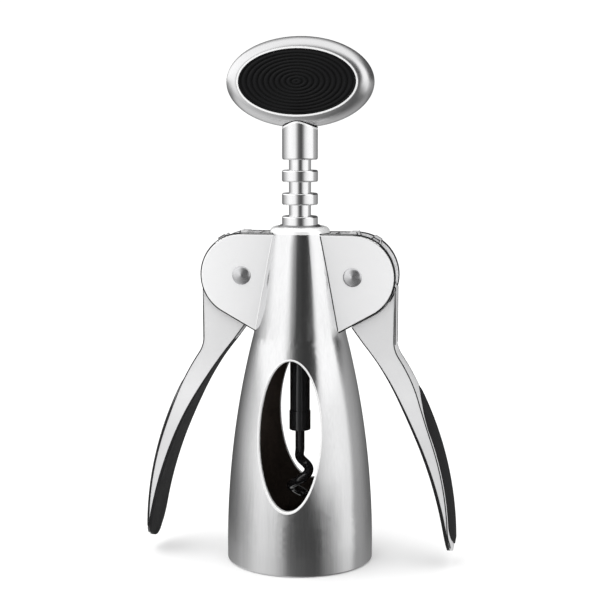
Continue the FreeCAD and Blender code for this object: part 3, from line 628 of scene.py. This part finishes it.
class CorkscrewStage(bpy.types.PropertyGroup):
    """Camera, floor and lights."""

    view_azimuth: bpy.props.FloatProperty(
        name="View turn", description="How far the camera stands to the right of the front",
        subtype="ANGLE", default=math.radians(10.4))
    view_drop: bpy.props.FloatProperty(
        name="View drop", description="How far the camera looks down",
        subtype="ANGLE", default=math.radians(7.45))
    view_distance: length("View distance", "Level distance from camera to spindle", 474.0)
    view_height: length("View height", "Height of the camera above the floor", 151.4)
    lens: bpy.props.FloatProperty(
        name="Lens", description="Focal length on a 36 mm sensor",
        subtype="DISTANCE_CAMERA", min=10.0, default=84.3)
    floor_colour: swatch("Floor", "Colour of the floor", 0.97, 0.97, 0.97)
    room_light: bpy.props.FloatProperty(
        name="Room light", description="Strength of the even white light round the object",
        min=0.0, default=1.08)
    top_light: bpy.props.FloatProperty(
        name="Top light", description="Power of the soft light overhead",
        unit="POWER", min=0.0, default=7.0)


class PieceMaker:
    """What the operators that make pieces have in common."""

    def execute(self, context):
        self.make(context.scene.corkscrew_finishes, context.scene.corkscrew_sizes)
        return {"FINISHED"}


# Bell

def bell_skin(height):
    """Outer radius of the bell in millimetres at a height: an arc, then a straight cone."""
    if height > WAIST.y:
        return WAIST.x + (height - WAIST.y) * (NECK.x - WAIST.x) / (NECK.y - WAIST.y)
    first, second = BELLY - RIM, WAIST - RIM
    cross = 2 * (first.x * second.y - first.y * second.x)
    centre = RIM + Vector((
        second.y * first.length_squared - first.y * second.length_squared,
        first.x * second.length_squared - second.x * first.length_squared)) / cross
    radius = (RIM - centre).length
    return centre.x + math.sqrt(max(0.0, radius ** 2 - (height - centre.y) ** 2))


def skin_depth(spot):
    """How far a place in millimetres lies inside the bell's outer skin."""
    return bell_skin(spot.z) - math.hypot(spot.x, spot.y)


def middle_of(edge):
    return (edge.verts[0].co + edge.verts[1].co) / 2 / MM


def at_window(spot):
    return 3.0 < spot.z < 75.0 and abs(spot.x) < WINDOW_SIDE


def wall_edge(edge):
    """Whether an edge crosses the cut wall of the rear window."""
    ends = [vert.co / MM for vert in edge.verts]
    through = abs(skin_depth(ends[0]) - skin_depth(ends[1])) > 1.2
    return ends[0].y > 0.0 and at_window(ends[0]) and through


def cheek_seam(edge, side):
    """Whether an edge runs between the bell and the flat of the cheek on one side."""
    flats = [abs(face.normal.y) > 0.999 for face in edge.link_faces]
    middle = middle_of(edge)
    on_face = all(abs(abs(vert.co.y) / MM - CHEEK_FACE) < 0.05 for vert in edge.verts)
    return (flats[0] != flats[1] and on_face and abs(skin_depth(middle)) < 0.1
            and middle.x * side > 0.0)


def cheek_rim(edge):
    """Whether an edge runs round a cheek, or round the neck's lip at its sides."""
    ends = [vert.co / MM for vert in edge.verts]
    middle = middle_of(edge)
    on_rim = skin_depth(middle) < -0.2 and all(
        abs(abs(end.y) - ROUND_FOOT) < 0.04 for end in ends)
    on_lip = abs(middle.x) > LIP_START and all(
        abs(end.z - NECK.y) < 0.05 and abs(end.x) < LIP_END for end in ends)
    return on_rim or on_lip


def window_rim(edge, inner, front):
    """Whether an edge runs round a window, on the inside or outside of the bell's wall."""
    middle = middle_of(edge)
    radial = Vector((middle.x, middle.y, 0.0)).normalized()
    depth = skin_depth(middle)
    skins = [abs(face.normal.dot(radial)) > 0.9 for face in edge.link_faces]
    near = 20.0 < middle.z < 73.0 and abs(middle.x) < WINDOW_SIDE
    return (near and skins[0] != skins[1] and (middle.y < 0) == front
            and (depth > INNER_SKIN if inner else depth < 0.2))


# Painted highlight and painted shade lines on the bell: which edges, the line's radius in
# millimetres and its material
BELL_LINES = (
    # Round the cheeks and the lip's sides a painted shade line
    (cheek_rim, 0.2, PAINTED_SHADE_LINE),
    # Seams of bell and cheeks: a painted shade line on the right, a painted highlight on the left
    (lambda edge: cheek_seam(edge, 1), 0.19, PAINTED_SHADE_LINE),
    (lambda edge: cheek_seam(edge, -1), 0.2, PAINTED_HIGHLIGHT),
    # Window rims: painted highlights on the front window's outer and the rear window's inner
    # edge, painted shade lines on the others
    (lambda edge: window_rim(edge, False, True), 0.25, PAINTED_HIGHLIGHT),
    (lambda edge: window_rim(edge, True, True), 0.14, PAINTED_SHADE_LINE),
    (lambda edge: window_rim(edge, False, False), 0.18, PAINTED_SHADE_LINE),
    (lambda edge: window_rim(edge, True, False), 0.2, PAINTED_HIGHLIGHT),
)


def bell_finish(face):
    """Number of the bell's material that a face takes."""
    spot = face.center / MM
    depth = skin_depth(spot)
    facing = abs(face.normal.y)
    # The neck's top face takes a painted highlight
    if spot.z > NECK.y - 0.1:
        return PAINTED_HIGHLIGHT
    if depth < -0.2 and abs(spot.y) < CHEEK_FACE + 0.05:
        # The slot between the cheeks is painted shade
        if abs(spot.y) < SLOT_WALL - 0.05:
            return PAINTED_SHADE_INSIDE
        if abs(spot.y) < SLOT_WALL + 0.05 or facing > 0.999:
            return CHEEK
        # A cheek's rounded rim: painted highlight where it is nearly flat, painted shade line
        # where it turns further away
        if facing > 0.15:
            return PAINTED_HIGHLIGHT if facing > 0.9 else PAINTED_SHADE_LINE
    # The bell's inside is painted shade
    if depth > INNER_SKIN and spot.z < 111.0:
        return PAINTED_SHADE_INSIDE
    outward = face.normal.x * spot.x + face.normal.y * spot.y
    cut = outward < 0.9 * math.hypot(spot.x, spot.y)
    # The windows' cut walls: a painted shade line on the outer part of the rear window, a painted
    # highlight elsewhere
    if depth > 0.06 and at_window(spot) and cut:
        return PAINTED_SHADE_LINE if spot.y > 0.0 and depth < 0.9 else PAINTED_HIGHLIGHT
    return BRUSHED


class CORKSCREW_OT_bell(PieceMaker, bpy.types.Operator):
    """Make the bell with its cheeks"""
    bl_idname = "corkscrew.bell"
    bl_label = "Bell"

    def make(self, finishes, sizes):
        materials = [brushed_metal(finishes), cheek_metal(finishes), painted_inside_shade(finishes),
                     painted_highlight_finish(finishes), painted_shade_line_finish(finishes)]
        bell = polished("bell_frame", "bell_with_cheeks", materials, split=wall_edge)
        for face in bell.data.polygons:
            face.material_index = bell_finish(face)
        for chosen, radius, index in BELL_LINES:
            add_edge_lines(bell, chosen, radius, index)
        stands_for(bell, "frame", "satin_casting", "bell_frame")


class CORKSCREW_OT_guide(PieceMaker, bpy.types.Operator):
    """Make the bottle guide in the bell's mouth"""
    bl_idname = "corkscrew.guide"
    bl_label = "Bottle guide"

    def make(self, finishes, sizes):
        guide = turned("guide_ring", moulded_plastic(finishes))
        stands_for(guide, "frame", "dark_plastic", "bottle_guide")


class CORKSCREW_OT_rivets(PieceMaker, bpy.types.Operator):
    """Make the lever rivets, and finish the knob's pin"""
    bl_idname = "corkscrew.rivets"
    bl_label = "Rivets"

    def make(self, finishes, sizes):
        low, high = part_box("pivot_pin_right")
        middle = (low + high) / 2
        recipe = Recipe("rivets", {
            "head radius": sizes.rivet_radius, "head height": sizes.rivet_height,
            "shank radius": 2.0 * MM, "spread": middle.x, "height": middle.z,
            "half width": (high.y - low.y) / 2 - sizes.rivet_height, "turns": 64, "steps": 24})
        given = recipe.given
        # The head is a shallow rounded cone that stands on its rim
        sheet, along, turn = recipe.sheet()
        out = along.math("POWER", 0.8)
        crown = 1.0 - (out * out + 0.02).math("SQRT") * 0.72 - out.math("POWER", 8.0) * 0.25
        reach = given["head radius"] * out
        spot = recipe.place(reach * turn.math("COSINE"),
                            (given["half width"] + given["head height"] * crown) * -1.0,
                            reach * turn.math("SINE"))
        head = recipe.make("SetPosition", {"Geometry": sheet, "Position": spot})
        back = recipe.moved(head, Rotation=(0.0, 0.0, math.pi))
        shank = recipe.make("MeshCylinder", {
            "Vertices": 48, "Radius": given["shank radius"],
            "Depth": given["half width"] * 2.0})
        level = recipe.moved(shank, Rotation=(math.pi / 2, 0.0, 0.0))
        left = recipe.place(given["spread"] * -1.0, 0.0, given["height"])
        right = recipe.place(given["spread"], 0.0, given["height"])
        spots = recipe.make("MeshLine", {"Count": 2, "Start Location": left, "Offset": right},
                            mode="END_POINTS")
        placed = recipe.make("InstanceOnPoints", {
            "Points": spots, "Instance": recipe.joined(head, back, level)})
        steel = turned_metal("rivet steel", finishes.rivet_colour, 0.24, metallic=0.9)
        rivets = recipe.bake(placed, "lever_rivets", steel, 50.0)
        rivets.visible_glossy = False
        stands_for(rivets, "frame", "rivet_steel", "pivot_pin_right", "pivot_pin_left")
        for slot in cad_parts["knob_pin"].material_slots:
            slot.material = steel


class CORKSCREW_OT_bush(PieceMaker, bpy.types.Operator):
    """Make the bush in the neck"""
    bl_idname = "corkscrew.bush"
    bl_label = "Neck bush"

    def make(self, finishes, sizes):
        # The bush is steel darkened to half the rivets' colour: painted shade below the rack's
        # lowest ring
        steel = turned_metal("bush steel with painted shade", tint(finishes.rivet_colour, 0.5), 0.3)
        stands_for(turned("bush_ring", steel), "bush", "rivet_steel", "neck_bush")


# Spindle

class CORKSCREW_OT_rack(PieceMaker, bpy.types.Operator):
    """Make the ringed rack that the gears move"""
    bl_idname = "corkscrew.rack"
    bl_label = "Rack"

    def make(self, finishes, sizes):
        low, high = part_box("spindle_rack")
        top_ring = low.z + sizes.ring_pitch * sizes.ring_count
        recipe = Recipe("rack_rings", {
            "rings": sizes.ring_count, "pitch": sizes.ring_pitch, "height": sizes.ring_height,
            "radius": sizes.ring_radius, "core": sizes.core_radius, "edge": sizes.ring_round,
            "overlap": 0.6 * MM, "top": top_ring, "foot": low.z, "end": high.z,
            "segments": 96})
        given = recipe.given
        path = recipe.make("CurvePrimitiveCircle", {
            "Resolution": given["segments"], "Radius": (given["radius"] + given["core"]) / 2.0})
        wall = recipe.make("CurvePrimitiveQuadrilateral", {
            "Width": given["radius"] - given["core"] + given["overlap"],
            "Height": given["height"]})
        softened = recipe.make("FilletCurve", {
            "Curve": wall, "Radius": given["edge"], "Count": 4}, mode="POLY")
        section = recipe.moved(softened, Translation=recipe.place(
            given["overlap"] / -2.0, 0.0, 0.0))
        ring = recipe.make("CurveToMesh", {"Curve": path, "Profile Curve": section})
        spots = recipe.make("MeshLine", {
            "Count": given["rings"], "Start Location": recipe.place(0.0, 0.0, given["top"]),
            "Offset": recipe.place(0.0, 0.0, given["pitch"] * -1.0)})
        rings = recipe.make("InstanceOnPoints", {"Points": spots, "Instance": ring})
        core = recipe.make("MeshCylinder", {
            "Vertices": given["segments"], "Radius": given["core"],
            "Depth": given["end"] - given["foot"]})
        stood = recipe.moved(core, Translation=recipe.place(
            0.0, 0.0, (given["end"] + given["foot"]) / 2.0))
        chrome = turned_metal("polished rack metal", finishes.chrome_colour,
                              finishes.chrome_roughness)
        rack = recipe.bake(recipe.joined(rings, stood), "rack_with_rings", chrome, 30.0)
        stands_for(rack, "spindle", "polished_chrome", "spindle_rack")


def knob_level(sizes, turn):
    """Half width, half height and depth of the knob's edge at a turn from its middle."""
    inward = 1 - math.cos(turn)
    return (sizes.knob_half_width - sizes.knob_rim_side * inward,
            sizes.knob_half_height - sizes.knob_rim_top * inward,
            sizes.knob_half_depth * math.sin(turn))


def knob_underside(sizes, x, y):
    """Height of the knob's underside over a place."""
    turn = math.asin(min(1.0, abs(y) / sizes.knob_half_depth))
    half_width, half_height, _ = knob_level(sizes, turn)
    return sizes.knob_centre - half_height * math.sqrt(1 - (x / half_width) ** 2)


class CORKSCREW_OT_collar(PieceMaker, bpy.types.Operator):
    """Make the collar whose top sits round the knob's edge"""
    bl_idname = "corkscrew.collar"
    bl_label = "Collar"

    def make(self, finishes, sizes):
        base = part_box("knob_collar")[0].z
        bore = 3.1
        outer = sizes.collar_radius / MM
        # Radius and rise above the base, then radius and drop below the knob
        foot = [(bore, 0.0), (outer - 0.6, 0.0), (outer - 0.3, 0.08), (outer - 0.08, 0.3),
                (outer, 0.6)]
        brim = [(outer, 1.1), (outer, 0.5), (outer - 0.1, 0.18), (outer - 0.4, 0.0),
                (bore, 0.0)]
        spots = circle(96)
        rings = [[(radius * MM * x, radius * MM * y, base + rise * MM) for x, y in spots]
                 for radius, rise in foot]
        for radius, drop in brim:
            ring = [(radius * MM * x, radius * MM * y) for x, y in spots]
            rings.append([(x, y, knob_underside(sizes, x, y) - drop * MM) for x, y in ring])
        chrome = turned_metal("polished collar metal", finishes.chrome_colour,
                              finishes.chrome_roughness)
        collar = skinned("saddle_collar", rings, chrome, closed=True, sharp=40.0)
        collar.data.materials.append(painted_highlight_finish(finishes))
        collar.data.materials.append(painted_shade_line_finish(finishes))
        # Just under the knob a painted shadow line, below it a painted highlight band
        for face in collar.data.polygons:
            x, y, height = face.center
            below_knob = (knob_underside(sizes, x, y) - height) / MM
            if below_knob < 0.4:
                face.material_index = 2
            elif below_knob < 0.95:
                face.material_index = 1
        stands_for(collar, "spindle", "polished_chrome", "knob_collar")


class CORKSCREW_OT_worm(PieceMaker, bpy.types.Operator):
    """Make the black rod, the ferrule and the worm"""
    bl_idname = "corkscrew.worm"
    bl_label = "Worm"

    def make(self, finishes, sizes):
        coat = black_coat(finishes)
        stands_for(turned("spindle_rod", coat), "spindle", "black_coating", "spindle_tail")
        stands_for(turned("worm_socket", coat), "spindle", "black_coating", "worm_ferrule")
        recipe = Recipe("worm_wire", {
            "pitch": sizes.worm_pitch, "line radius": sizes.worm_radius,
            "wire radius": sizes.wire_radius, "straight end": sizes.worm_start,
            "shank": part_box("worm")[1].z - sizes.worm_start, "turns": sizes.worm_turns,
            "opening turns": 0.65, "start angle": math.radians(127.0),
            "point turns": 0.32, "steps": 420})
        given = recipe.given
        line = recipe.make("MeshLine", {"Count": given["steps"]})
        along = recipe.make("InputIndex") / (given["steps"] - 1.0)
        lead = given["shank"] / given["pitch"]
        travel = along * (given["turns"] + lead) - lead
        turn = travel.most(0.0)
        # The wire leans out of the shank and takes up its winding as it opens
        opening = (turn / given["opening turns"]).least(1.0)
        reach = given["line radius"] * opening * opening * (3.0 - opening * 2.0)
        wound = turn - opening * (1.0 - opening / 2.0) * given["opening turns"]
        angle = given["start angle"] - wound * (2 * math.pi)
        spot = recipe.place(reach * angle.math("COSINE"), reach * angle.math("SINE"),
                            given["straight end"] - given["pitch"] * travel)
        placed = recipe.make("SetPosition", {"Geometry": line, "Position": spot})
        left = (given["turns"] - turn) / given["point turns"]
        section = recipe.make("CurvePrimitiveCircle", {
            "Resolution": 24, "Radius": given["wire radius"]})
        tube = recipe.make("CurveToMesh", {
            "Curve": recipe.make("MeshToCurve", {"Mesh": placed}), "Profile Curve": section,
            "Scale": left.least(1.0) * 0.9 + 0.1, "Fill Caps": True})
        worm = recipe.bake(tube, "open_worm", coat, 50.0)
        stands_for(worm, "spindle", "black_coating", "worm")


class CORKSCREW_OT_knob(PieceMaker, bpy.types.Operator):
    """Make the oval knob with a bead round each insert"""
    bl_idname = "corkscrew.knob"
    bl_label = "Knob"

    def make(self, finishes, sizes):
        wide, tall, bead = sizes.insert_half_width, sizes.insert_half_height, sizes.bead
        face_turn = math.radians(81.0)
        face_depth = knob_level(sizes, face_turn)[2]
        floor = face_depth - 1.6 * MM
        # Half width, half height and depth: the recess, the bead, then the rim to the middle
        levels = [(wide * 0.01, tall * 0.01, floor), (wide, tall, floor),
                  (wide, tall, face_depth - 0.05 * MM)]
        for step in range(7):
            angle = math.pi * step / 6
            grow = bead * (1 - math.cos(angle))
            crest = min(face_depth + bead * 0.75 * math.sin(angle),
                        sizes.knob_half_depth - 0.02 * MM)
            levels.append((wide + grow, tall + grow, crest))
        rim_steps = 28
        levels += [knob_level(sizes, face_turn * (1 - step / rim_steps))
                   for step in range(rim_steps + 1)]
        levels += [(x, z, -depth) for x, z, depth in reversed(levels[:-1])]
        rings = [[(half_width * x, -depth, sizes.knob_centre + half_height * z)
                  for x, z in circle(160)] for half_width, half_height, depth in levels]
        knob = skinned("oval_knob", rings, satin_metal(finishes), sharp=40.0)
        knob.data.materials.append(painted_highlight_finish(finishes))
        # The bead round each insert takes a painted highlight
        bead_width, bead_height = wide + 2.1 * bead, tall + 2.1 * bead
        for face in knob.data.polygons:
            spot = face.center
            upward = (spot.z - sizes.knob_centre) * bead_width / bead_height
            if math.hypot(spot.x, upward) < bead_width and abs(spot.y) > floor + 0.2 * MM:
                face.material_index = 1
        knob.visible_glossy = False
        stands_for(knob, "spindle", "satin_casting", "knob")


class CORKSCREW_OT_inserts(PieceMaker, bpy.types.Operator):
    """Make the ribbed rubber inserts of the knob"""
    bl_idname = "corkscrew.inserts"
    bl_label = "Knob inserts"

    def make(self, finishes, sizes):
        black = ribbed_rubber(finishes, sizes)
        gap = 0.04 * MM
        # Shares of the sheet where the ribbed top and the upright edge end; the rest is the back
        top_end, side_end = 0.9, 0.96
        for side, place in ((-1.0, "front"), (1.0, "rear")):
            low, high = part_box("knob_insert_" + place)
            recipe = Recipe("insert_ribs_" + place, {
                "ribs": sizes.rib_count, "depth": sizes.rib_depth,
                "half width": sizes.insert_half_width - gap,
                "half height": sizes.insert_half_height - gap, "edge drop": 0.12 * MM,
                "thickness": high.y - low.y, "inner": min(abs(low.y), abs(high.y)),
                "centre": sizes.knob_centre, "side": side, "steps": 190, "turns": 144})
            given = recipe.given
            sheet, along, turn = recipe.sheet()
            rise = (along / top_end).least(1.0)
            fall = ((along - top_end) / (side_end - top_end)).least(1.0).most(0.0)
            back = ((along - side_end) / (1.0 - side_end)).least(1.0).most(0.0)
            out = rise * (1.0 - back)
            crest = rib_wave(rise, given["ribs"]).math("POWER", 0.7)
            edge = ((1.0 - rise) * 22.0).least(1.0)
            lift = given["thickness"] - given["depth"] * (1.0 - crest) * edge
            height = (lift - (1.0 - edge) * given["edge drop"]) * (1.0 - fall)
            spot = recipe.place(given["half width"] * out * turn.math("COSINE"),
                                (given["inner"] + height) * given["side"],
                                given["centre"] + given["half height"] * out * turn.math("SINE"))
            plate = recipe.make("SetPosition", {"Geometry": sheet, "Position": spot})
            insert = recipe.bake(plate, "ribbed_insert_" + place, black, 60.0)
            insert.visible_glossy = False
            stands_for(insert, "spindle", "black_rubber", "knob_insert_" + place)


# Levers

def arm_edge(edge):
    """Whether an edge runs along a flat side of a lever, away from its gear."""
    sides = [abs(face.normal.x) < 0.1 and abs(face.normal.y) > 0.7 for face in edge.link_faces]
    middle = middle_of(edge)
    out, height = abs(middle.x), middle.z
    from_pivot = math.hypot(out - PIVOT.x, height - PIVOT.y)
    below_gear = height < 81.0
    beside_gear = out > 31.5 and height < 106.0
    over_gear = out > 20.0 and height > 98.0 and from_pivot > 11.5
    return (sides[0] != sides[1] and (below_gear or beside_gear or over_gear)
            and edge.calc_face_angle() > 0.25)


class CORKSCREW_OT_levers(PieceMaker, bpy.types.Operator):
    """Make the two geared levers with painted shade lines along their edges"""
    bl_idname = "corkscrew.levers"
    bl_label = "Levers"

    def make(self, finishes, sizes):
        materials = [pearl_metal(finishes), painted_shade_line_finish(finishes)]
        for side in ("right", "left"):
            lever = polished("lever_" + side, "geared_lever_" + side, materials)
            add_edge_lines(lever, arm_edge, 0.19, 1)
            lever.visible_glossy = False
            stands_for(lever, side + "_lever", "satin_casting", "lever_" + side)


class CORKSCREW_OT_grips(PieceMaker, bpy.types.Operator):
    """Make the rubber on the levers"""
    bl_idname = "corkscrew.grips"
    bl_label = "Grips"

    def make(self, finishes, sizes):
        black = grip_rubber(finishes)
        for side in ("right", "left"):
            for place in ("outer", "inner"):
                node = "%s_grip_%s" % (place, side)
                grip = polished(node, "rubber_%s_%s" % (place, side), [black])
                grip.visible_glossy = False
                stands_for(grip, side + "_lever", "black_rubber", node)


# Stage

def floor_material(stage):
    floor = Finish("pale floor", Roughness=0.95, Specular_IOR_Level=0.0)
    floor.paint(floor.noise(0.02), stage.floor_colour, 0.985, 1.0, 0.0, 1.0)
    return floor.material


def tent_ramp(tree, turn, stops):
    """Brightness of the tent round the object, by degrees from the front."""
    ramp = add_node(tree, "ShaderNodeValToRGB", {"Fac": turn / 360.0 + 0.5})
    elements = ramp.color_ramp.elements
    while len(elements) < len(stops):
        elements.new(0.5)
    for element, (degrees, light) in zip(elements, stops):
        element.position = degrees / 360.0 + 0.5
        element.color = (light, light, light, 1.0)
    return Flow(tree, ramp.outputs[0])


# The tent's brightness in four belts, as (degrees from the front, light)
UPPER_TENT = ((-180, 0.06), (-155, 0.2), (-146, 1.0), (-39, 1.0), (-21, 0.3), (-9, 0.06),
              (9, 0.035), (27, 0.03), (34, 0.08), (41, 0.85), (50, 1.0), (86, 1.0),
              (92, 0.3), (98, 0.05), (150, 0.05), (180, 0.06))
MIDDLE_TENT = ((-180, 0.1), (-150, 0.14), (-134, 0.26), (-112, 0.5), (-94, 0.72), (-82, 0.9),
               (-66, 1.0), (-32, 0.9), (-19, 0.45), (-9, 0.14), (4, 0.07), (12, 0.08),
               (22, 0.3), (32, 0.7), (48, 0.92), (68, 1.0), (90, 0.95), (99, 0.46),
               (118, 0.36), (140, 0.24), (180, 0.1))
LOWER_TENT = ((-180, 0.1), (-150, 0.12), (-121, 0.24), (-94, 0.5), (-74, 0.84), (-56, 0.92),
              (-40, 0.76), (-28, 0.5), (-18, 0.12), (-1, 0.075), (18, 0.06), (29, 0.08),
              (38, 0.24), (50, 0.42), (65, 0.78), (80, 1.0), (88, 0.98), (97, 0.46), (118, 0.34),
              (138, 0.2), (165, 0.12), (180, 0.1))
UNDER_TENT = ((-180, 0.7), (-110, 0.8), (-50, 0.6), (-10, 0.2), (30, 0.1), (80, 0.16),
              (130, 0.4), (180, 0.6))


def tent_material():
    """White and black cloths of the tent that the metal mirrors."""
    material = bpy.data.materials.new("tent cloths")
    material.use_nodes = True
    tree = material.node_tree
    tree.nodes.clear()
    x, y, z = axes_of(tree, flow_of(tree, "ShaderNodeTexCoord", key="Object"))
    turn = x.math("ARCTAN2", y * -1.0) * (180 / math.pi)
    rise = z.math("ARCTAN2", (x * x + y * y).math("SQRT")) * (180 / math.pi)
    level = tent_ramp(tree, turn, UNDER_TENT)
    for stops, gain, low, high in ((LOWER_TENT, 1.0, -30.0, -17.0),
                                   (MIDDLE_TENT, 1.12, -13.0, -6.0),
                                   (UPPER_TENT, 1.3, 3.0, 8.0)):
        belt = rise.spread(low, high)
        level = level * (1.0 - belt) + tent_ramp(tree, turn, stops) * gain * belt
    ceiling = rise.spread(38.0, 60.0)
    level = level * (1.0 - ceiling) + ceiling * 1.1
    glow = add_node(tree, "ShaderNodeEmission", {"Strength": level})
    end = add_node(tree, "ShaderNodeOutputMaterial")
    tree.links.new(glow.outputs[0], end.inputs["Surface"])
    return material


class CORKSCREW_OT_stage(bpy.types.Operator):
    """Set up the floor, the light tent and the camera"""
    bl_idname = "corkscrew.stage"
    bl_label = "Stage"

    def execute(self, context):
        scene = context.scene
        stage = scene.corkscrew_stage
        scene.view_settings.view_transform = "Standard"
        bpy.ops.mesh.primitive_plane_add(size=12.0, location=(0, 0, -0.1 * MM))
        floor = context.object
        floor.name = "floor"
        floor.data.materials.append(floor_material(stage))
        floor.visible_glossy = False

        world = bpy.data.worlds.new("white room")
        world.use_nodes = True
        background = world.node_tree.nodes["Background"]
        background.inputs["Color"].default_value = (1, 1, 1, 1)
        background.inputs["Strength"].default_value = stage.room_light
        scene.world = world
        world.cycles_visibility.glossy = False

        light = bpy.data.lights.new("top light", "AREA")
        light.size = 1.2
        light.energy = stage.top_light
        lamp = link_object("top light", light)
        lamp.location = (-0.3, -0.3, 1.4)
        lamp.rotation_euler = Vector((0.3, 0.3, -1.3)).to_track_quat("-Z", "Y").to_euler()
        lamp.visible_camera = False
        lamp.visible_glossy = False

        bpy.ops.mesh.primitive_uv_sphere_add(
            segments=64, ring_count=32, radius=2.0, location=(0, 0, 0.09),
            rotation=(0, 0, stage.view_azimuth))
        tent = context.object
        tent.name = "light tent"
        tent.data.materials.append(tent_material())
        for ray in ("camera", "diffuse", "shadow", "transmission"):
            setattr(tent, "visible_" + ray, False)

        camera = bpy.data.cameras.new("camera")
        camera.lens = stage.lens
        camera.clip_start = 0.01
        viewer = link_object("camera", camera)
        viewer.location = (stage.view_distance * math.sin(stage.view_azimuth),
                           -stage.view_distance * math.cos(stage.view_azimuth),
                           stage.view_height)
        viewer.rotation_euler = (math.pi / 2 - stage.view_drop, 0, stage.view_azimuth)
        scene.camera = viewer
        return {"FINISHED"}


# Add-on

PIECES = ("bell", "guide", "rivets", "bush", "rack", "collar", "worm", "knob", "inserts",
          "levers", "grips", "stage")
GROUPS = {"corkscrew_finishes": CorkscrewFinishes, "corkscrew_sizes": CorkscrewSizes,
          "corkscrew_stage": CorkscrewStage}


class VIEW3D_PT_corkscrew(bpy.types.Panel):
    """Settings and pieces of the corkscrew"""
    bl_label = "Corkscrew"
    bl_idname = "VIEW3D_PT_corkscrew"
    bl_space_type = "VIEW_3D"
    bl_region_type = "UI"
    bl_category = "Corkscrew"

    def draw(self, context):
        for name, group in GROUPS.items():
            box = self.layout.box()
            for setting in group.__annotations__:
                box.prop(getattr(context.scene, name), setting)
        for piece in PIECES:
            self.layout.operator("corkscrew." + piece)


CLASSES = (
    CorkscrewFinishes, CorkscrewSizes, CorkscrewStage,
    CORKSCREW_OT_bell, CORKSCREW_OT_guide, CORKSCREW_OT_rivets, CORKSCREW_OT_bush,
    CORKSCREW_OT_rack, CORKSCREW_OT_collar, CORKSCREW_OT_worm, CORKSCREW_OT_knob,
    CORKSCREW_OT_inserts, CORKSCREW_OT_levers, CORKSCREW_OT_grips, CORKSCREW_OT_stage,
    VIEW3D_PT_corkscrew,
)


def register():
    for item in CLASSES:
        bpy.utils.register_class(item)
    for name, group in GROUPS.items():
        setattr(bpy.types.Scene, name, bpy.props.PointerProperty(type=group))


def unregister():
    for name in GROUPS:
        delattr(bpy.types.Scene, name)
    for item in reversed(CLASSES):
        bpy.utils.unregister_class(item)


def main():
    register()
    for piece in PIECES:
        getattr(bpy.ops.corkscrew, piece)()


if __name__ == "__main__":
    main()
